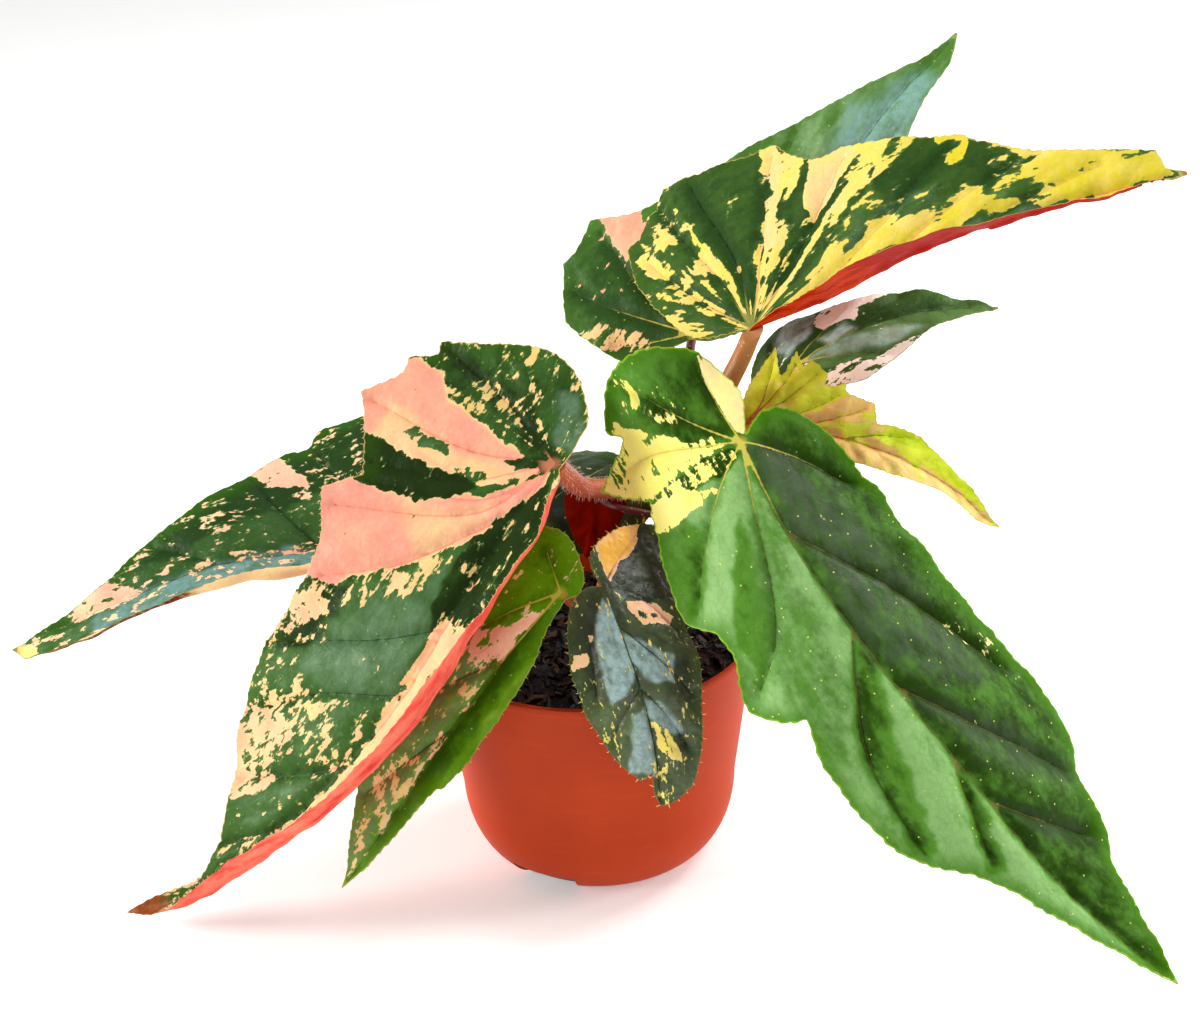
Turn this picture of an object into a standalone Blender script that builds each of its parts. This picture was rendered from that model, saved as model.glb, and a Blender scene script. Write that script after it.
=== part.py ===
"""A begonia in a plastic nursery pot: the pot, its compost, two canes with their petioles, and the leaf blades.

Lengths are in millimetres and are turned into metres by MM where a mesh is made. The origin is the middle of
the pot's foot. +X is right in the front view, +Y is away from it, and +Z is up.
"""

import math
from dataclasses import dataclass, field

import bpy
import numpy as np
from mathutils import Vector, noise
from mathutils.geometry import delaunay_2d_cdt

MM = 0.001
GAP = 0.3

# The pot: a 12 cm nursery pot, straight down to a shoulder and then rounded in to its foot
RIM_RADIUS = 60.0
POT_HEIGHT = 89.0
SHOULDER_RADIUS = 51.2
SHOULDER_HEIGHT = 28.8
FOOT_RADIUS = 34.9
POT_WALL = 1.5
LIP_HEIGHT = 5.0
LIP_WALL = 2.2
LIP_ROUND = 0.6
POT_SEGMENTS = 64
DRAIN_ANGLES = (240.0, 60.0)
DRAIN_SPREAD = 33.0
DRAIN_INNER_RADIUS = 25.0
DRAIN_DEPTH = 8.5
DRAIN_HOLE_RADIUS = 1.9
DRAIN_HOLE_CIRCLE = 31.0
DRAIN_HOLES = 3
DRAIN_HOLE_ROW = 26.0
DRAIN_HOLE_SIDES = 12
DRAIN_STEP_MARGIN = 6.0

# The compost: filled to a little below the rim, with a rough top
COMPOST_HEIGHT = 81.5
COMPOST_ROUGHNESS = 2.4
COMPOST_GRAIN = 9.0
COMPOST_RINGS = 13
COMPOST_SEGMENTS = 48
STEM_HOLE_FLOOR = 58.0
STEM_HOLE_SIDES = 24

# Blades and stems
BLADE_THICKNESS = 0.8
BLADE_STEP = 8.0
BLADE_STEP_LEAST = 4.0
BLADE_STEPS_LONG = 14
SEAT_RADIUS = 6.0
ROLL_STEPS = 3
SECTION_STEPS = 24
STEM_SIDES = 10
PETIOLE_SIDES = 8

# Colours: linear red, green, blue
TERRACOTTA = (0.50, 0.095, 0.030)
PEAT = (0.020, 0.010, 0.006)
CANE_BROWN = (0.42, 0.13, 0.03)
CANE_PINK = (0.55, 0.22, 0.12)


@dataclass
class Blade:
    """One leaf blade. Its margin and veins are flat (along, across) points: along runs up the midrib from the
    petiole, and across is to the left of it. A third value marks a tooth, where the margin turns sharply."""

    name: str
    colour: tuple
    spine: list  # the midrib in space, from the petiole to the tip
    faces: list  # where the upper side faces, at the petiole and at the tip
    left: list  # the margin left of the midrib, from the notch at the petiole to the tip
    right: list  # the margin right of it, the same way
    veins: list = field(default_factory=list)
    lift: tuple = ((0, 0), (0, 0))  # degrees that the left and right halves rise, at petiole and tip
    curl: tuple = (0, 0)  # further degrees for each 10 mm from the midrib, left and right
    back: float = 0  # degrees for each 10 mm that the lobes behind the petiole bend up
    roll: list = field(default_factory=list)  # where the left half starts to roll up
    roll_radius: float = 3.0
    pleat: float = 1.6  # depth of the valleys along the veins
    pleat_width: float = 5.0


BLADES = [
    Blade(
        "blade_large_right",
        (0.06, 0.16, 0.05),
        spine=[(54, -25, 172), (68, -50, 150), (89, -75, 123), (119, -95, 87), (153, -108, 44), (194, -116, 4)],
        faces=[(-0.1, -0.55, 0.83), (0.1, -0.45, 0.9)],
        left=[(-2, 3), (-7, 12), (-2, 24), (20, 35), (68, 41), (110, 46), (135, 48), (160, 45), (178, 35),
              (195, 28), (203, 19), (226, 9), (244, 0)],
        right=[(-2, 3), (-18, 7), (-36, -3), (-42, -18), (-35, -34), (-22, -42, 1), (-17, -38), (-9, -56, 1),
               (1, -38, 1), (24, -44), (41, -48), (53, -39, 1), (63, -39), (76, -46), (86, -39), (90, -31, 1),
               (105, -37), (130, -38), (147, -34), (166, -20), (190, -12), (244, 0)],
        veins=[[(35, 0), (74, 23), (122, 41)], [(100, 0), (140, 21), (168, 36)], [(150, 0), (188, 23)],
               [(0, 0), (10, 14), (28, 32)], [(75, 0), (112, -24), (148, -30)], [(128, 0), (165, -14)],
               [(0, 0), (41, -12), (64, -24), (76, -41)], [(0, 0), (14, -17), (42, -43)],
               [(0, 0), (-10, -28), (-10, -50)], [(0, 0), (-27, -25), (-33, -34)], [(0, 0), (-31, -3)]],
        lift=((-5, -5), (5, 5)),
        curl=(-6, -8),
        back=12,
        pleat=2.4,
        pleat_width=7.0,
    ),
    Blade(
        "blade_large_left",
        (0.10, 0.20, 0.09),
        spine=[(-10, -25, 167), (-29, -42, 149), (-49, -58, 126), (-66, -66, 102), (-88, -68, 76),
               (-112, -65, 51), (-144, -57, 21), (-174, -50, 7)],
        faces=[(-0.25, -0.72, 0.6), (-0.35, -0.6, 0.6)],
        left=[(1, 3), (12, 12), (30, 16), (55, 17), (72, 20), (90, 21), (120, 19), (150, 16), (180, 13),
              (205, 10), (225, 5), (244, 0)],
        right=[(1, 3), (-13, 4), (-24, -3), (-32, -15), (-32, -28), (-25, -43), (-16, -60, 1), (-11, -59),
               (-5, -66, 1), (2, -65), (15, -73, 1), (26, -63), (38, -55, 1), (49, -65, 1), (66, -55),
               (87, -53), (123, -53, 1), (151, -44), (178, -23), (198, -9), (212, -4), (230, -3), (244, 0)],
        veins=[[(0, 0), (12, -30), (15, -68)], [(0, 0), (-10, -28), (-15, -56)], [(0, 0), (22, -24), (33, -56)],
               [(0, 0), (24, -14), (39, -52)], [(0, 0), (30, -14), (52, -58)], [(20, 0), (57, -25), (76, -48)],
               [(69, 0), (96, -30), (120, -50)], [(96, 0), (120, -25), (152, -40)], [(130, 0), (172, -24)],
               [(165, 0), (194, -9)]],
        lift=((10, 4), (10, 4)),
        back=5,
        roll=[(0, 2), (26, 11), (90, 11), (110, 10), (140, 8), (165, 5), (190, 2), (244, 0)],
        pleat=2.4,
        pleat_width=6.0,
    ),
    Blade(
        "blade_far_left",
        (0.05, 0.15, 0.06),
        spine=[(-41, 15, 147), (-67, 8, 134), (-97, 2, 126), (-134, -2, 123), (-172, -3, 110), (-214, 0, 90)],
        faces=[(-0.1, -0.6, 0.75), (-0.1, -0.6, 0.75)],
        left=[(-3, 1), (0, 6), (20, 15), (50, 18), (80, 18), (105, 16), (125, 13), (150, 13), (165, 12),
              (178, 7), (185, 0)],
        right=[(-3, 1), (-12, -4), (-15, -16), (-4, -34), (24, -49), (48, -51), (58, -44), (75, -41),
               (88, -33), (107, -24), (125, -17), (142, -8), (162, -3), (185, 0)],
        veins=[[(0, 0), (10, -22), (22, -44)], [(30, 0), (46, -24), (54, -44)], [(61, 0), (77, -22), (84, -34)],
               [(99, 0), (122, -16)]],
        lift=((5, 0), (5, 0)),
        curl=(0, -4),
        back=5,
        roll=[(0, 4), (30, 9), (100, 9), (130, 8), (160, 9), (185, 3)],
    ),
    Blade(
        "blade_top",
        (0.45, 0.45, 0.12),
        spine=[(61, 5, 201), (87, -2, 215), (119, -12, 235), (157, -22, 251), (199, -30, 263)],
        faces=[(-0.35, -0.72, 0.6), (-0.35, -0.7, 0.6)],
        left=[(-2, 0), (-23, 7), (-36, 23), (-47, 39), (-55, 59, 1), (-47, 60, 1), (-45, 70, 1), (-39, 71, 1),
              (-37, 81, 1), (-21, 78), (1, 74), (20, 73, 1), (28, 61), (37, 54), (48, 54, 1), (65, 45),
              (87, 36, 1), (97, 28), (119, 18), (148, 10, 1), (150, 3, 1), (157, 0)],
        right=[(-2, 0), (3, -4), (13, -7), (30, -14), (47, -20), (60, -21), (69, -19), (80, -14), (90, -10),
               (98, -7), (105, -5), (113, -3), (135, -2), (157, 0)],
        veins=[[(0, 0), (-17, 18), (-43, 48)], [(0, 0), (-11, 28), (-37, 70)], [(0, 0), (-2, 32), (-20, 74)],
               [(0, 0), (10, 31), (18, 70)], [(0, 0), (20, 18), (48, 50)], [(15, 0), (56, 16), (84, 34)],
               [(49, 0), (90, 15), (112, 20)], [(85, 0), (130, 10)]],
        lift=((0, 88), (0, 68)),
        curl=(-4, 0),
        back=-5,
        pleat=1.8,
    ),
    Blade(
        "blade_top_back",
        (0.08, 0.22, 0.10),
        spine=[(42, 52, 181), (68, 58, 206), (92, 64, 229), (115, 70, 258), (141, 78, 282)],
        faces=[(-0.3, -0.75, 0.6), (-0.3, -0.75, 0.6)],
        left=[(-2, -1), (-23, 9), (-29, 25), (-31, 41, 1), (-16, 58, 1), (-8, 57), (3, 62, 1), (19, 49), (41, 42),
              (76, 30), (105, 14), (124, 5), (145, 0)],
        right=[(-2, -1), (4, -8), (21, -17), (52, -25), (83, -22), (104, -13), (127, -7), (136, -5), (145, 0)],
        veins=[[(0, 0), (-2, 27), (2, 55)], [(0, 0), (-13, 27), (-21, 46)], [(0, 0), (-16, 12), (-24, 20)],
               [(0, 0), (25, 24), (50, 36)], [(30, 0), (60, 18), (82, 24)], [(40, 0), (72, -18)],
               [(75, 0), (104, -9)]],
    ),
    Blade(
        "blade_dark_back",
        (0.03, 0.08, 0.04),
        spine=[(71, 45, 162), (84, 41, 176), (102, 38, 187), (128, 38, 193), (153, 41, 191)],
        faces=[(0.0, -0.35, 0.95), (0.0, -0.35, 0.95)],
        left=[(-2, 0), (-9, 8), (-6, 21), (2, 26), (19, 20), (40, 15), (64, 11), (77, 5), (94, 0)],
        right=[(-2, 0), (-5, -6), (2, -13), (14, -18), (28, -21), (39, -22), (54, -16), (65, -10), (77, -6),
               (94, 0)],
        veins=[[(10, 0), (25, 8), (37, 13)], [(32, 0), (45, 4), (57, 10)], [(12, 0), (35, -9), (48, -15)],
               [(0, 0), (2, 20)], [(0, 0), (12, -22)]],
        lift=((0, -5), (0, -5)),
        curl=(-4, -8),
    ),
    Blade(
        "blade_young_lime",
        (0.55, 0.50, 0.08),
        spine=[(58, 5, 165), (83, -5, 165), (107, -14, 160), (127, -22, 150), (143, -28, 136)],
        faces=[(-0.1, -0.6, 0.75), (0, -0.6, 0.75)],
        left=[(-1, 0), (-3, 9), (0, 19), (5, 30, 1), (8, 21), (10, 21), (13, 29, 1), (16, 24, 1), (19, 26, 1),
              (24, 22, 1), (25, 18), (31, 20, 1), (33, 16), (42, 15, 1), (45, 8, 1), (52, 10), (60, 10, 1),
              (67, 7), (80, 4), (100, 0)],
        right=[(-1, 0), (4, -6), (20, -9), (37, -9), (60, -7), (75, -4), (90, -3), (100, 0)],
        veins=[[(0, 0), (4, 10), (5, 26)], [(0, 0), (9, 14), (13, 25)], [(0, 0), (14, 13), (21, 22)],
               [(6, 0), (22, 9), (30, 16)], [(17, 0), (33, 8), (40, 13)], [(35, 0), (47, 5), (57, 8)]],
        lift=((5, 5), (5, 5)),
        pleat=1.2,
        pleat_width=3.5,
    ),
    Blade(
        "blade_front_left",
        (0.09, 0.18, 0.03),
        spine=[(-10, -42, 126), (-32, -56, 107), (-58, -66, 76), (-75, -68, 51), (-93, -66, 24)],
        faces=[(-0.3, -0.65, 0.7), (-0.3, -0.7, 0.6)],
        left=[(1, 3), (14, 5), (25, 9), (41, 11), (67, 11), (79, 10, 1), (84, 7), (102, 5), (120, 3), (137, 0)],
        right=[(1, 3), (-4, 5), (-10, 2), (-16, -8), (-16, -17), (-11, -25), (0, -28), (20, -30), (50, -32),
               (80, -27), (100, -18), (112, -12), (124, -6), (137, 0)],
        veins=[[(0, 0), (-8, -14)], [(0, 0), (20, -12), (48, -26)], [(30, 0), (53, -13), (76, -22)],
               [(60, 0), (84, -8), (102, -14)]],
        lift=((-15, 5), (-15, 5)),
        curl=(-8, -5),
        back=5,
    ),
    Blade(
        "blade_front_centre",
        (0.11, 0.17, 0.13),
        spine=[(5, -42, 128), (10, -56, 118), (16, -67, 101), (20, -72, 79), (21, -74, 57)],
        faces=[(0, -0.6, 0.8), (0, -0.75, 0.6)],
        left=[(0, -1), (-8, -2), (-14, 1), (-18, 9), (-19, 18), (-16, 27), (-6, 30), (10, 26), (24, 23),
              (36, 23), (50, 20), (64, 16), (76, 12), (82, 6), (84, 0)],
        right=[(0, -1), (-1, -7), (6, -15), (22, -20), (40, -21), (54, -18), (66, -13), (73, -6, 1), (70, -2, 1),
               (78, -2), (84, 0)],
        veins=[[(0, 0), (-8, 8), (-17, 20)], [(0, 0), (9, 12), (24, 20)], [(0, 0), (17, -11), (38, -16)],
               [(16, 0), (32, 10), (46, 17)], [(39, 0), (50, 6), (64, 12)], [(39, 0), (48, -9), (56, -14)]],
        lift=((-5, -5), (-5, -5)),
        curl=(-8, -8),
        back=8,
    ),
    Blade(
        "blade_red_underside",
        (0.12, 0.01, 0.008),
        spine=[(4, 8, 140), (1.5, 3, 128), (-1, -2, 117)],
        faces=[(0.15, 0.9, 0.3), (0.15, 0.95, 0.1)],
        left=[(0, 0), (-4, 4), (-2, 9), (4, 11), (12, 9), (19, 5), (25, 0)],
        right=[(0, 0), (-4, -4), (-2, -9), (4, -11), (12, -9), (19, -5), (25, 0)],
        veins=[[(0, 0), (10, 7)], [(0, 0), (10, -7)]],
        lift=((-5, -5), (-5, -5)),
        pleat=0.8,
    ),
    Blade(
        "blade_small_grey",
        (0.11, 0.13, 0.07),
        spine=[(20, 9, 136), (14, 6, 128), (8, 3, 120)],
        faces=[(-0.1, -0.8, 0.5), (-0.1, -0.8, 0.5)],
        left=[(0, 0), (-2, 3), (1, 6), (7, 6), (14, 4), (21.5, 0)],
        right=[(0, 0), (-2, -3), (1, -6), (7, -6), (14, -4), (21.5, 0)],
        veins=[[(0, 0), (8, 5)], [(0, 0), (8, -5)]],
        lift=((5, 5), (5, 5)),
        pleat=0.6,
    ),
    Blade(
        "blade_back",
        (0.05, 0.14, 0.05),
        spine=[(0, 36, 131), (-8, 58, 127), (-22, 88, 118), (-38, 116, 105)],
        faces=[(-0.1, 0.15, 0.97), (0.0, 0.3, 0.97)],
        left=[(-2, 0), (-14, 1), (-28, 4), (-32, 12), (-25, 23), (-8, 28), (18, 27), (42, 24), (65, 16), (82, 7),
              (93, 0)],
        right=[(-2, 0), (-8, -7), (-8, -16), (2, -22), (20, -22), (42, -18), (65, -12), (82, -5), (93, 0)],
        veins=[[(0, 0), (-5, 14)], [(0, 0), (17, 21)], [(26, 0), (50, 16)], [(0, 0), (-3, -15)],
               [(0, 0), (18, -17)], [(28, 0), (52, -12)]],
        curl=(-2, -2),
        back=-30,
    ),
]


@dataclass
class Stem:
    """A cane or a petiole: its route in space and its radius at the foot and at the head. A petiole that
    carries a blade ends flat against the underside of it."""

    route: list
    radii: tuple
    sides: int = PETIOLE_SIDES
    blade: str = ""


CANE_TALL = Stem(
    [(12, 6, STEM_HOLE_FLOOR), (14, 6, 84), (20, 6, 104), (30, 5, 130), (40, 5, 152), (50, 6, 176), (57, 7, 190)],
    (5.5, 3.2), STEM_SIDES, "blade_top",
)
CANE_SHORT = Stem(
    [(0, -14, STEM_HOLE_FLOOR), (0, -15, 84), (0, -20, 100), (1, -29, 113), (3, -36, 120)],
    (4.8, 2.2), STEM_SIDES, "blade_front_centre",
)

# Petioles run from inside their cane to the blade they carry, whose attachment is their last point
TALL_PETIOLES = [
    Stem([(36, 5, 143), (45, -6, 153), (52, -17, 163)], (3.6, 2.8), blade="blade_large_right"),
    Stem([(33, 5, 137), (16, 2, 143), (0, -6, 148), (-6, -16, 158)], (3.8, 3.4), blade="blade_large_left"),
    Stem([(24, 6, 114), (33, 25, 141), (40, 48, 165), (41, 56, 172)], (2.4, 1.7), blade="blade_top_back"),
    Stem([(39, 5, 150), (58, 28, 149), (74, 46, 155)], (2.2, 1.6), blade="blade_dark_back"),
    Stem([(44, 5, 161), (52, 8, 160)], (2.0, 1.5), blade="blade_young_lime"),
    Stem([(29, 5, 128), (26, -7, 136), (12, -5, 139), (6, 3, 138)], (1.5, 1.0), blade="blade_red_underside"),
    Stem([(29, 5, 127), (26, 12, 132)], (1.5, 1.0), blade="blade_small_grey"),
    Stem([(15, 6, 90), (13, 16, 108), (5, 30, 122)], (2.2, 1.6), blade="blade_back"),
]
SHORT_PETIOLES = [
    Stem([(0, -26, 108), (-5, -33, 116)], (2.6, 2.0), blade="blade_front_left"),
    Stem([(0, -17, 93), (-10, 0, 114), (-28, 14, 134)], (2.8, 2.2), blade="blade_far_left"),
]


def finish(name, colour, roughness):
    """A plain glossy or matt material of one colour."""
    material = bpy.data.materials.new(name)
    material.use_nodes = True
    shader = material.node_tree.nodes["Principled BSDF"]
    shader.inputs["Base Color"].default_value = (*colour, 1.0)
    shader.inputs["Roughness"].default_value = roughness
    shader.inputs["Metallic"].default_value = 0.0
    material.diffuse_color = (*colour, 1.0)
    return material


def object_from(name, points, faces, material=None, sharp_angle=40.0):
    """A smooth-shaded object of one closed body. The points are in millimetres."""
    mesh = bpy.data.meshes.new(name)
    mesh.from_pydata([Vector(p) * MM for p in points], [], faces)
    mesh.update()
    mesh.shade_smooth()
    mesh.set_sharp_from_angle(angle=math.radians(sharp_angle))
    if material:
        mesh.materials.append(material)
    made = bpy.data.objects.new(name, mesh)
    bpy.context.scene.collection.objects.link(made)
    return made


def turned(name, rings, segments, material=None):
    """A closed body of rings of points round +Z. Each ring is a list of points, or one point on the axis."""
    points, starts = [], []
    for ring in rings:
        starts.append(len(points))
        points.extend(ring)
    faces = []
    for a, b, lower, upper in zip(starts, starts[1:], rings, rings[1:]):
        for i in range(segments):
            j = (i + 1) % segments
            if len(lower) == 1:
                faces.append((a, b + j, b + i))
            elif len(upper) == 1:
                faces.append((a + i, a + j, b))
            else:
                faces.append((a + i, a + j, b + j, b + i))
    return object_from(name, points, faces, material)


def ring(radius, height, segments):
    """The points of a level ring, or the one point on the axis."""
    if radius == 0:
        return [(0.0, 0.0, height)]
    turns = [2 * math.pi * i / segments for i in range(segments)]
    return [(radius * math.cos(a), radius * math.sin(a), height) for a in turns]


def shoulder_radius(height):
    """The outer radius of the pot at a height below its shoulder."""
    rise = 1 - height / SHOULDER_HEIGHT
    return FOOT_RADIUS + (SHOULDER_RADIUS - FOOT_RADIUS) * math.sqrt(max(0.0, 1 - rise * rise))


def pot_radius(height):
    """The outer radius of the pot at any height."""
    if height < SHOULDER_HEIGHT:
        return shoulder_radius(height)
    up = (height - SHOULDER_HEIGHT) / (POT_HEIGHT - SHOULDER_HEIGHT)
    return SHOULDER_RADIUS + up * (RIM_RADIUS - SHOULDER_RADIUS)


def cut(target, cutter, operation="DIFFERENCE"):
    """Applies a Boolean of one object on another, and removes the cutter."""
    modifier = target.modifiers.new(operation, "BOOLEAN")
    modifier.operation = operation
    modifier.object = cutter
    settle(target)
    bpy.data.objects.remove(cutter)


def settle(made):
    """Applies the modifiers of an object."""
    graph = bpy.context.evaluated_depsgraph_get()
    mesh = bpy.data.meshes.new_from_object(made.evaluated_get(graph))
    made.modifiers.clear()
    made.data = mesh


def sector(name, inner, outer, middle, spread, low, high, steps=10):
    """A block that fills part of a ring."""
    angles = [math.radians(middle + spread * (i / steps - 0.5)) for i in range(steps + 1)]
    outline = [(outer * math.cos(a), outer * math.sin(a)) for a in angles]
    outline += [(inner * math.cos(a), inner * math.sin(a)) for a in reversed(angles)]
    n = len(outline)
    points = [(x, y, low) for x, y in outline] + [(x, y, high) for x, y in outline]
    faces = [tuple(range(n - 1, -1, -1)), tuple(range(n, 2 * n))]
    faces += [(i, (i + 1) % n, n + (i + 1) % n, n + i) for i in range(n)]
    return object_from(name, points, faces)


def peg(name, x, y, radius, low, high, sides):
    """An upright cylinder."""
    rings = [[(x, y, low)], [], [], [(x, y, high)]]
    for place, height in ((1, low), (2, high)):
        rings[place] = [(x + px, y + py, height) for px, py, _ in ring(radius, 0, sides)]
    return turned(name, rings, sides)


def make_pot():
    """The pot: an open shell with a thicker lip. Its foot has two slots, each under a step in the floor that
    drain holes pass through."""
    heights = [0, 0.6, 2.4, 5.5, 10, 16, 22, SHOULDER_HEIGHT]
    outside = [ring(0, 0, POT_SEGMENTS)] + [ring(pot_radius(h), h, POT_SEGMENTS) for h in heights]
    lip = [(RIM_RADIUS, -LIP_ROUND), (RIM_RADIUS - LIP_ROUND, 0), (RIM_RADIUS - LIP_WALL + LIP_ROUND, 0)]
    outside += [ring(radius, POT_HEIGHT + rise, POT_SEGMENTS) for radius, rise in lip]
    lip_foot = POT_HEIGHT - LIP_HEIGHT
    inside_lip = [ring(pot_radius(lip_foot) - LIP_WALL, lip_foot, POT_SEGMENTS)]
    inside_lip += [ring(pot_radius(lip_foot - 1) - POT_WALL, lip_foot - 1, POT_SEGMENTS)]
    floor = [ring(pot_radius(h) - POT_WALL, h, POT_SEGMENTS) for h in (SHOULDER_HEIGHT, 20, 13, 8, 4, POT_WALL)]
    floor.append(ring(0, POT_WALL, POT_SEGMENTS))
    pot = turned("pot", outside + inside_lip + floor, POT_SEGMENTS, finish("terracotta plastic", TERRACOTTA, 0.38))
    for angle in DRAIN_ANGLES:
        step = sector("step", DRAIN_INNER_RADIUS - POT_WALL, RIM_RADIUS, angle, DRAIN_SPREAD + DRAIN_STEP_MARGIN,
                      POT_WALL / 2, DRAIN_DEPTH + POT_WALL)
        core = [ring(pot_radius(h) - POT_WALL / 2, h, POT_SEGMENTS) for h in (0.3, 2.4, 5.5, 10, 16)]
        core = [ring(0, 0.3, POT_SEGMENTS), *core, ring(0, 16, POT_SEGMENTS)]
        cut(step, turned("core", core, POT_SEGMENTS), "INTERSECT")
        cut(pot, step, "UNION")
        cut(pot, sector("slot", DRAIN_INNER_RADIUS, RIM_RADIUS, angle, DRAIN_SPREAD, -1, DRAIN_DEPTH))
        for i in range(DRAIN_HOLES):
            turn = math.radians(angle + DRAIN_HOLE_ROW * ((i + 0.5) / DRAIN_HOLES - 0.5))
            x, y = DRAIN_HOLE_CIRCLE * math.cos(turn), DRAIN_HOLE_CIRCLE * math.sin(turn)
            low, high = DRAIN_DEPTH - 1, DRAIN_DEPTH + POT_WALL + 1
            cut(pot, peg("drain", x, y, DRAIN_HOLE_RADIUS, low, high, DRAIN_HOLE_SIDES))
    return pot


def make_compost():
    """The compost: it fills the pot, with a rough top and a plain hole for each cane."""
    floor = POT_WALL + GAP
    seam = COMPOST_HEIGHT - COMPOST_ROUGHNESS - 1
    rings = [ring(0, floor, COMPOST_SEGMENTS)]
    for height in (floor, 4, 8, 13, 20, SHOULDER_HEIGHT, seam):
        rings.append(ring(pot_radius(height) - POT_WALL - 2 * GAP, height, COMPOST_SEGMENTS))
    top_radius = pot_radius(COMPOST_HEIGHT) - POT_WALL - 2 * GAP
    for i in range(COMPOST_RINGS):
        radius = top_radius * (1 - i / COMPOST_RINGS)
        level = []
        for x, y, _ in ring(radius, 0, COMPOST_SEGMENTS):
            lump = noise.noise(Vector((x, y, 0)) / COMPOST_GRAIN) + 0.5 * noise.noise(Vector((x, y, 40)) / 4)
            level.append((x, y, COMPOST_HEIGHT + COMPOST_ROUGHNESS * lump))
        rings.append(level)
    rings.append([(0, 0, COMPOST_HEIGHT)])
    compost = turned("compost", rings, COMPOST_SEGMENTS, finish("peat", PEAT, 0.95))
    for angle in DRAIN_ANGLES:
        inner = DRAIN_INNER_RADIUS - POT_WALL - GAP
        spread = DRAIN_SPREAD + DRAIN_STEP_MARGIN + 2 * math.degrees(GAP / inner)
        cut(compost, sector("step", inner, RIM_RADIUS, angle, spread, 0, DRAIN_DEPTH + POT_WALL + GAP))
    for cane in (CANE_TALL, CANE_SHORT):
        x, y, foot = cane.route[0]
        lean = max(abs(cane.route[1][0] - x), abs(cane.route[1][1] - y))
        radius = cane.radii[0] + GAP + lean
        cut(compost, peg("hole", x, y, radius, foot - 1, POT_HEIGHT, STEM_HOLE_SIDES))
    return compost


def smooth(points, step, per_span=0):
    """Points of a curve through the given ones: per_span to each span, or one for about each step of length."""
    p = np.array(points, float)
    p = np.vstack([2 * p[0] - p[1], p, 2 * p[-1] - p[-2]])
    made = []
    for a, b, c, d in zip(p, p[1:], p[2:], p[3:]):
        count = per_span or max(1, round(float(np.linalg.norm(c - b)) / step))
        t = np.arange(count)[:, None] / count
        made.append(b + 0.5 * t * (c - a + t * (2 * a - 5 * b + 4 * c - d + t * (3 * b - a - 3 * c + d))))
    return np.vstack([*made, p[-2:-1]])


def unit(vectors):
    return vectors / np.linalg.norm(vectors, axis=-1, keepdims=True)


class Surface:
    """The sheet that a blade follows: a point (along, across) of the flat blade has its place in space."""

    def __init__(self, blade):
        self.blade = blade
        self.line = smooth(blade.spine, 0, per_span=24)
        self.arc = np.concatenate([[0], np.cumsum(np.linalg.norm(np.diff(self.line, axis=0), axis=1))])
        self.length = self.arc[-1]
        self.ahead = unit(np.gradient(self.line, axis=0))
        t = (self.arc / self.length)[:, None]
        start, end = (unit(np.array(face, float)) for face in blade.faces)
        facing = (1 - t) * start + t * end
        self.up = unit(facing - (facing * self.ahead).sum(1, keepdims=True) * self.ahead)

    def midrib(self, along):
        """The place, the way ahead and the way up at points along the midrib and behind the petiole."""
        at = np.clip(along, 0, self.length)
        look = [np.stack([np.interp(at, self.arc, row[:, k]) for k in range(3)], -1)
                for row in (self.line, self.ahead, self.up)]
        place, ahead, up = look[0], unit(look[1]), unit(look[2])
        behind = np.maximum(-along, 0)
        bend = math.radians(self.blade.back) / 10 + 1e-9
        turn = (bend * behind)[..., None]
        place = place - np.sin(turn) / bend * ahead + (1 - np.cos(turn)) / bend * up
        return place, np.cos(turn) * ahead - np.sin(turn) * up, np.sin(turn) * ahead + np.cos(turn) * up

    def place(self, along, across):
        """Where flat points lie in space, and the way that the upper side faces there."""
        along, across = np.asarray(along, float), np.asarray(across, float)
        origin, ahead, up = self.midrib(along)
        side = np.where(across >= 0, 1.0, -1.0)
        out = np.cross(up, ahead) * side[..., None]
        t = np.clip(along / self.length, 0, 1)
        half = np.where(across >= 0, 0, 1)
        start, end = (np.array(lift, float)[half] for lift in self.blade.lift)
        rise = np.radians(start + (end - start) * t)
        curl = np.radians(np.array(self.blade.curl, float)[half]) / 10
        reach = np.abs(across)
        step = reach / SECTION_STEPS
        run, climb = np.zeros_like(reach), np.zeros_like(reach)
        for i in range(SECTION_STEPS):
            angle = rise + curl * step * (i + 0.5) + self.rolled(along, side * step * (i + 0.5))
            run += np.cos(angle) * step
            climb += np.sin(angle) * step
        angle = rise + curl * reach + self.rolled(along, across)
        facing = np.cos(angle)[..., None] * up - np.sin(angle)[..., None] * out
        return origin + run[..., None] * out + climb[..., None] * up, unit(facing)

    def rolled(self, along, across):
        """The further angle that the rolled margin has turned through."""
        if not self.blade.roll:
            return 0.0
        start = np.interp(along, *zip(*self.blade.roll))
        return np.maximum(across - start, 0) / self.blade.roll_radius

    def pleat(self, points):
        """How far flat points lie below the sheet, in the valleys along the veins."""
        lines = [[(0, 0), (self.length, 0)], *self.blade.veins]
        near = np.full(len(points), 1e9)
        for line in lines:
            for a, b in zip(np.array(line, float), np.array(line[1:], float)):
                t = np.clip(((points - a) @ (b - a)) / ((b - a) @ (b - a)), 0, 1)
                near = np.minimum(near, np.linalg.norm(points - (a + t[:, None] * (b - a)), axis=1))
        rim = np.clip((np.linalg.norm(points, axis=1) - SEAT_RADIUS) / (4 * self.blade.pleat_width), 0, 1)
        return -self.blade.pleat * rim * np.exp(-near / self.blade.pleat_width)


def runs(points):
    """The stretches of a margin between its teeth."""
    stretch = []
    for point in points:
        stretch.append(point[:2])
        if len(point) == 3 and len(stretch) > 1:
            yield stretch
            stretch = [point[:2]]
    if len(stretch) > 1:
        yield stretch


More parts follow.
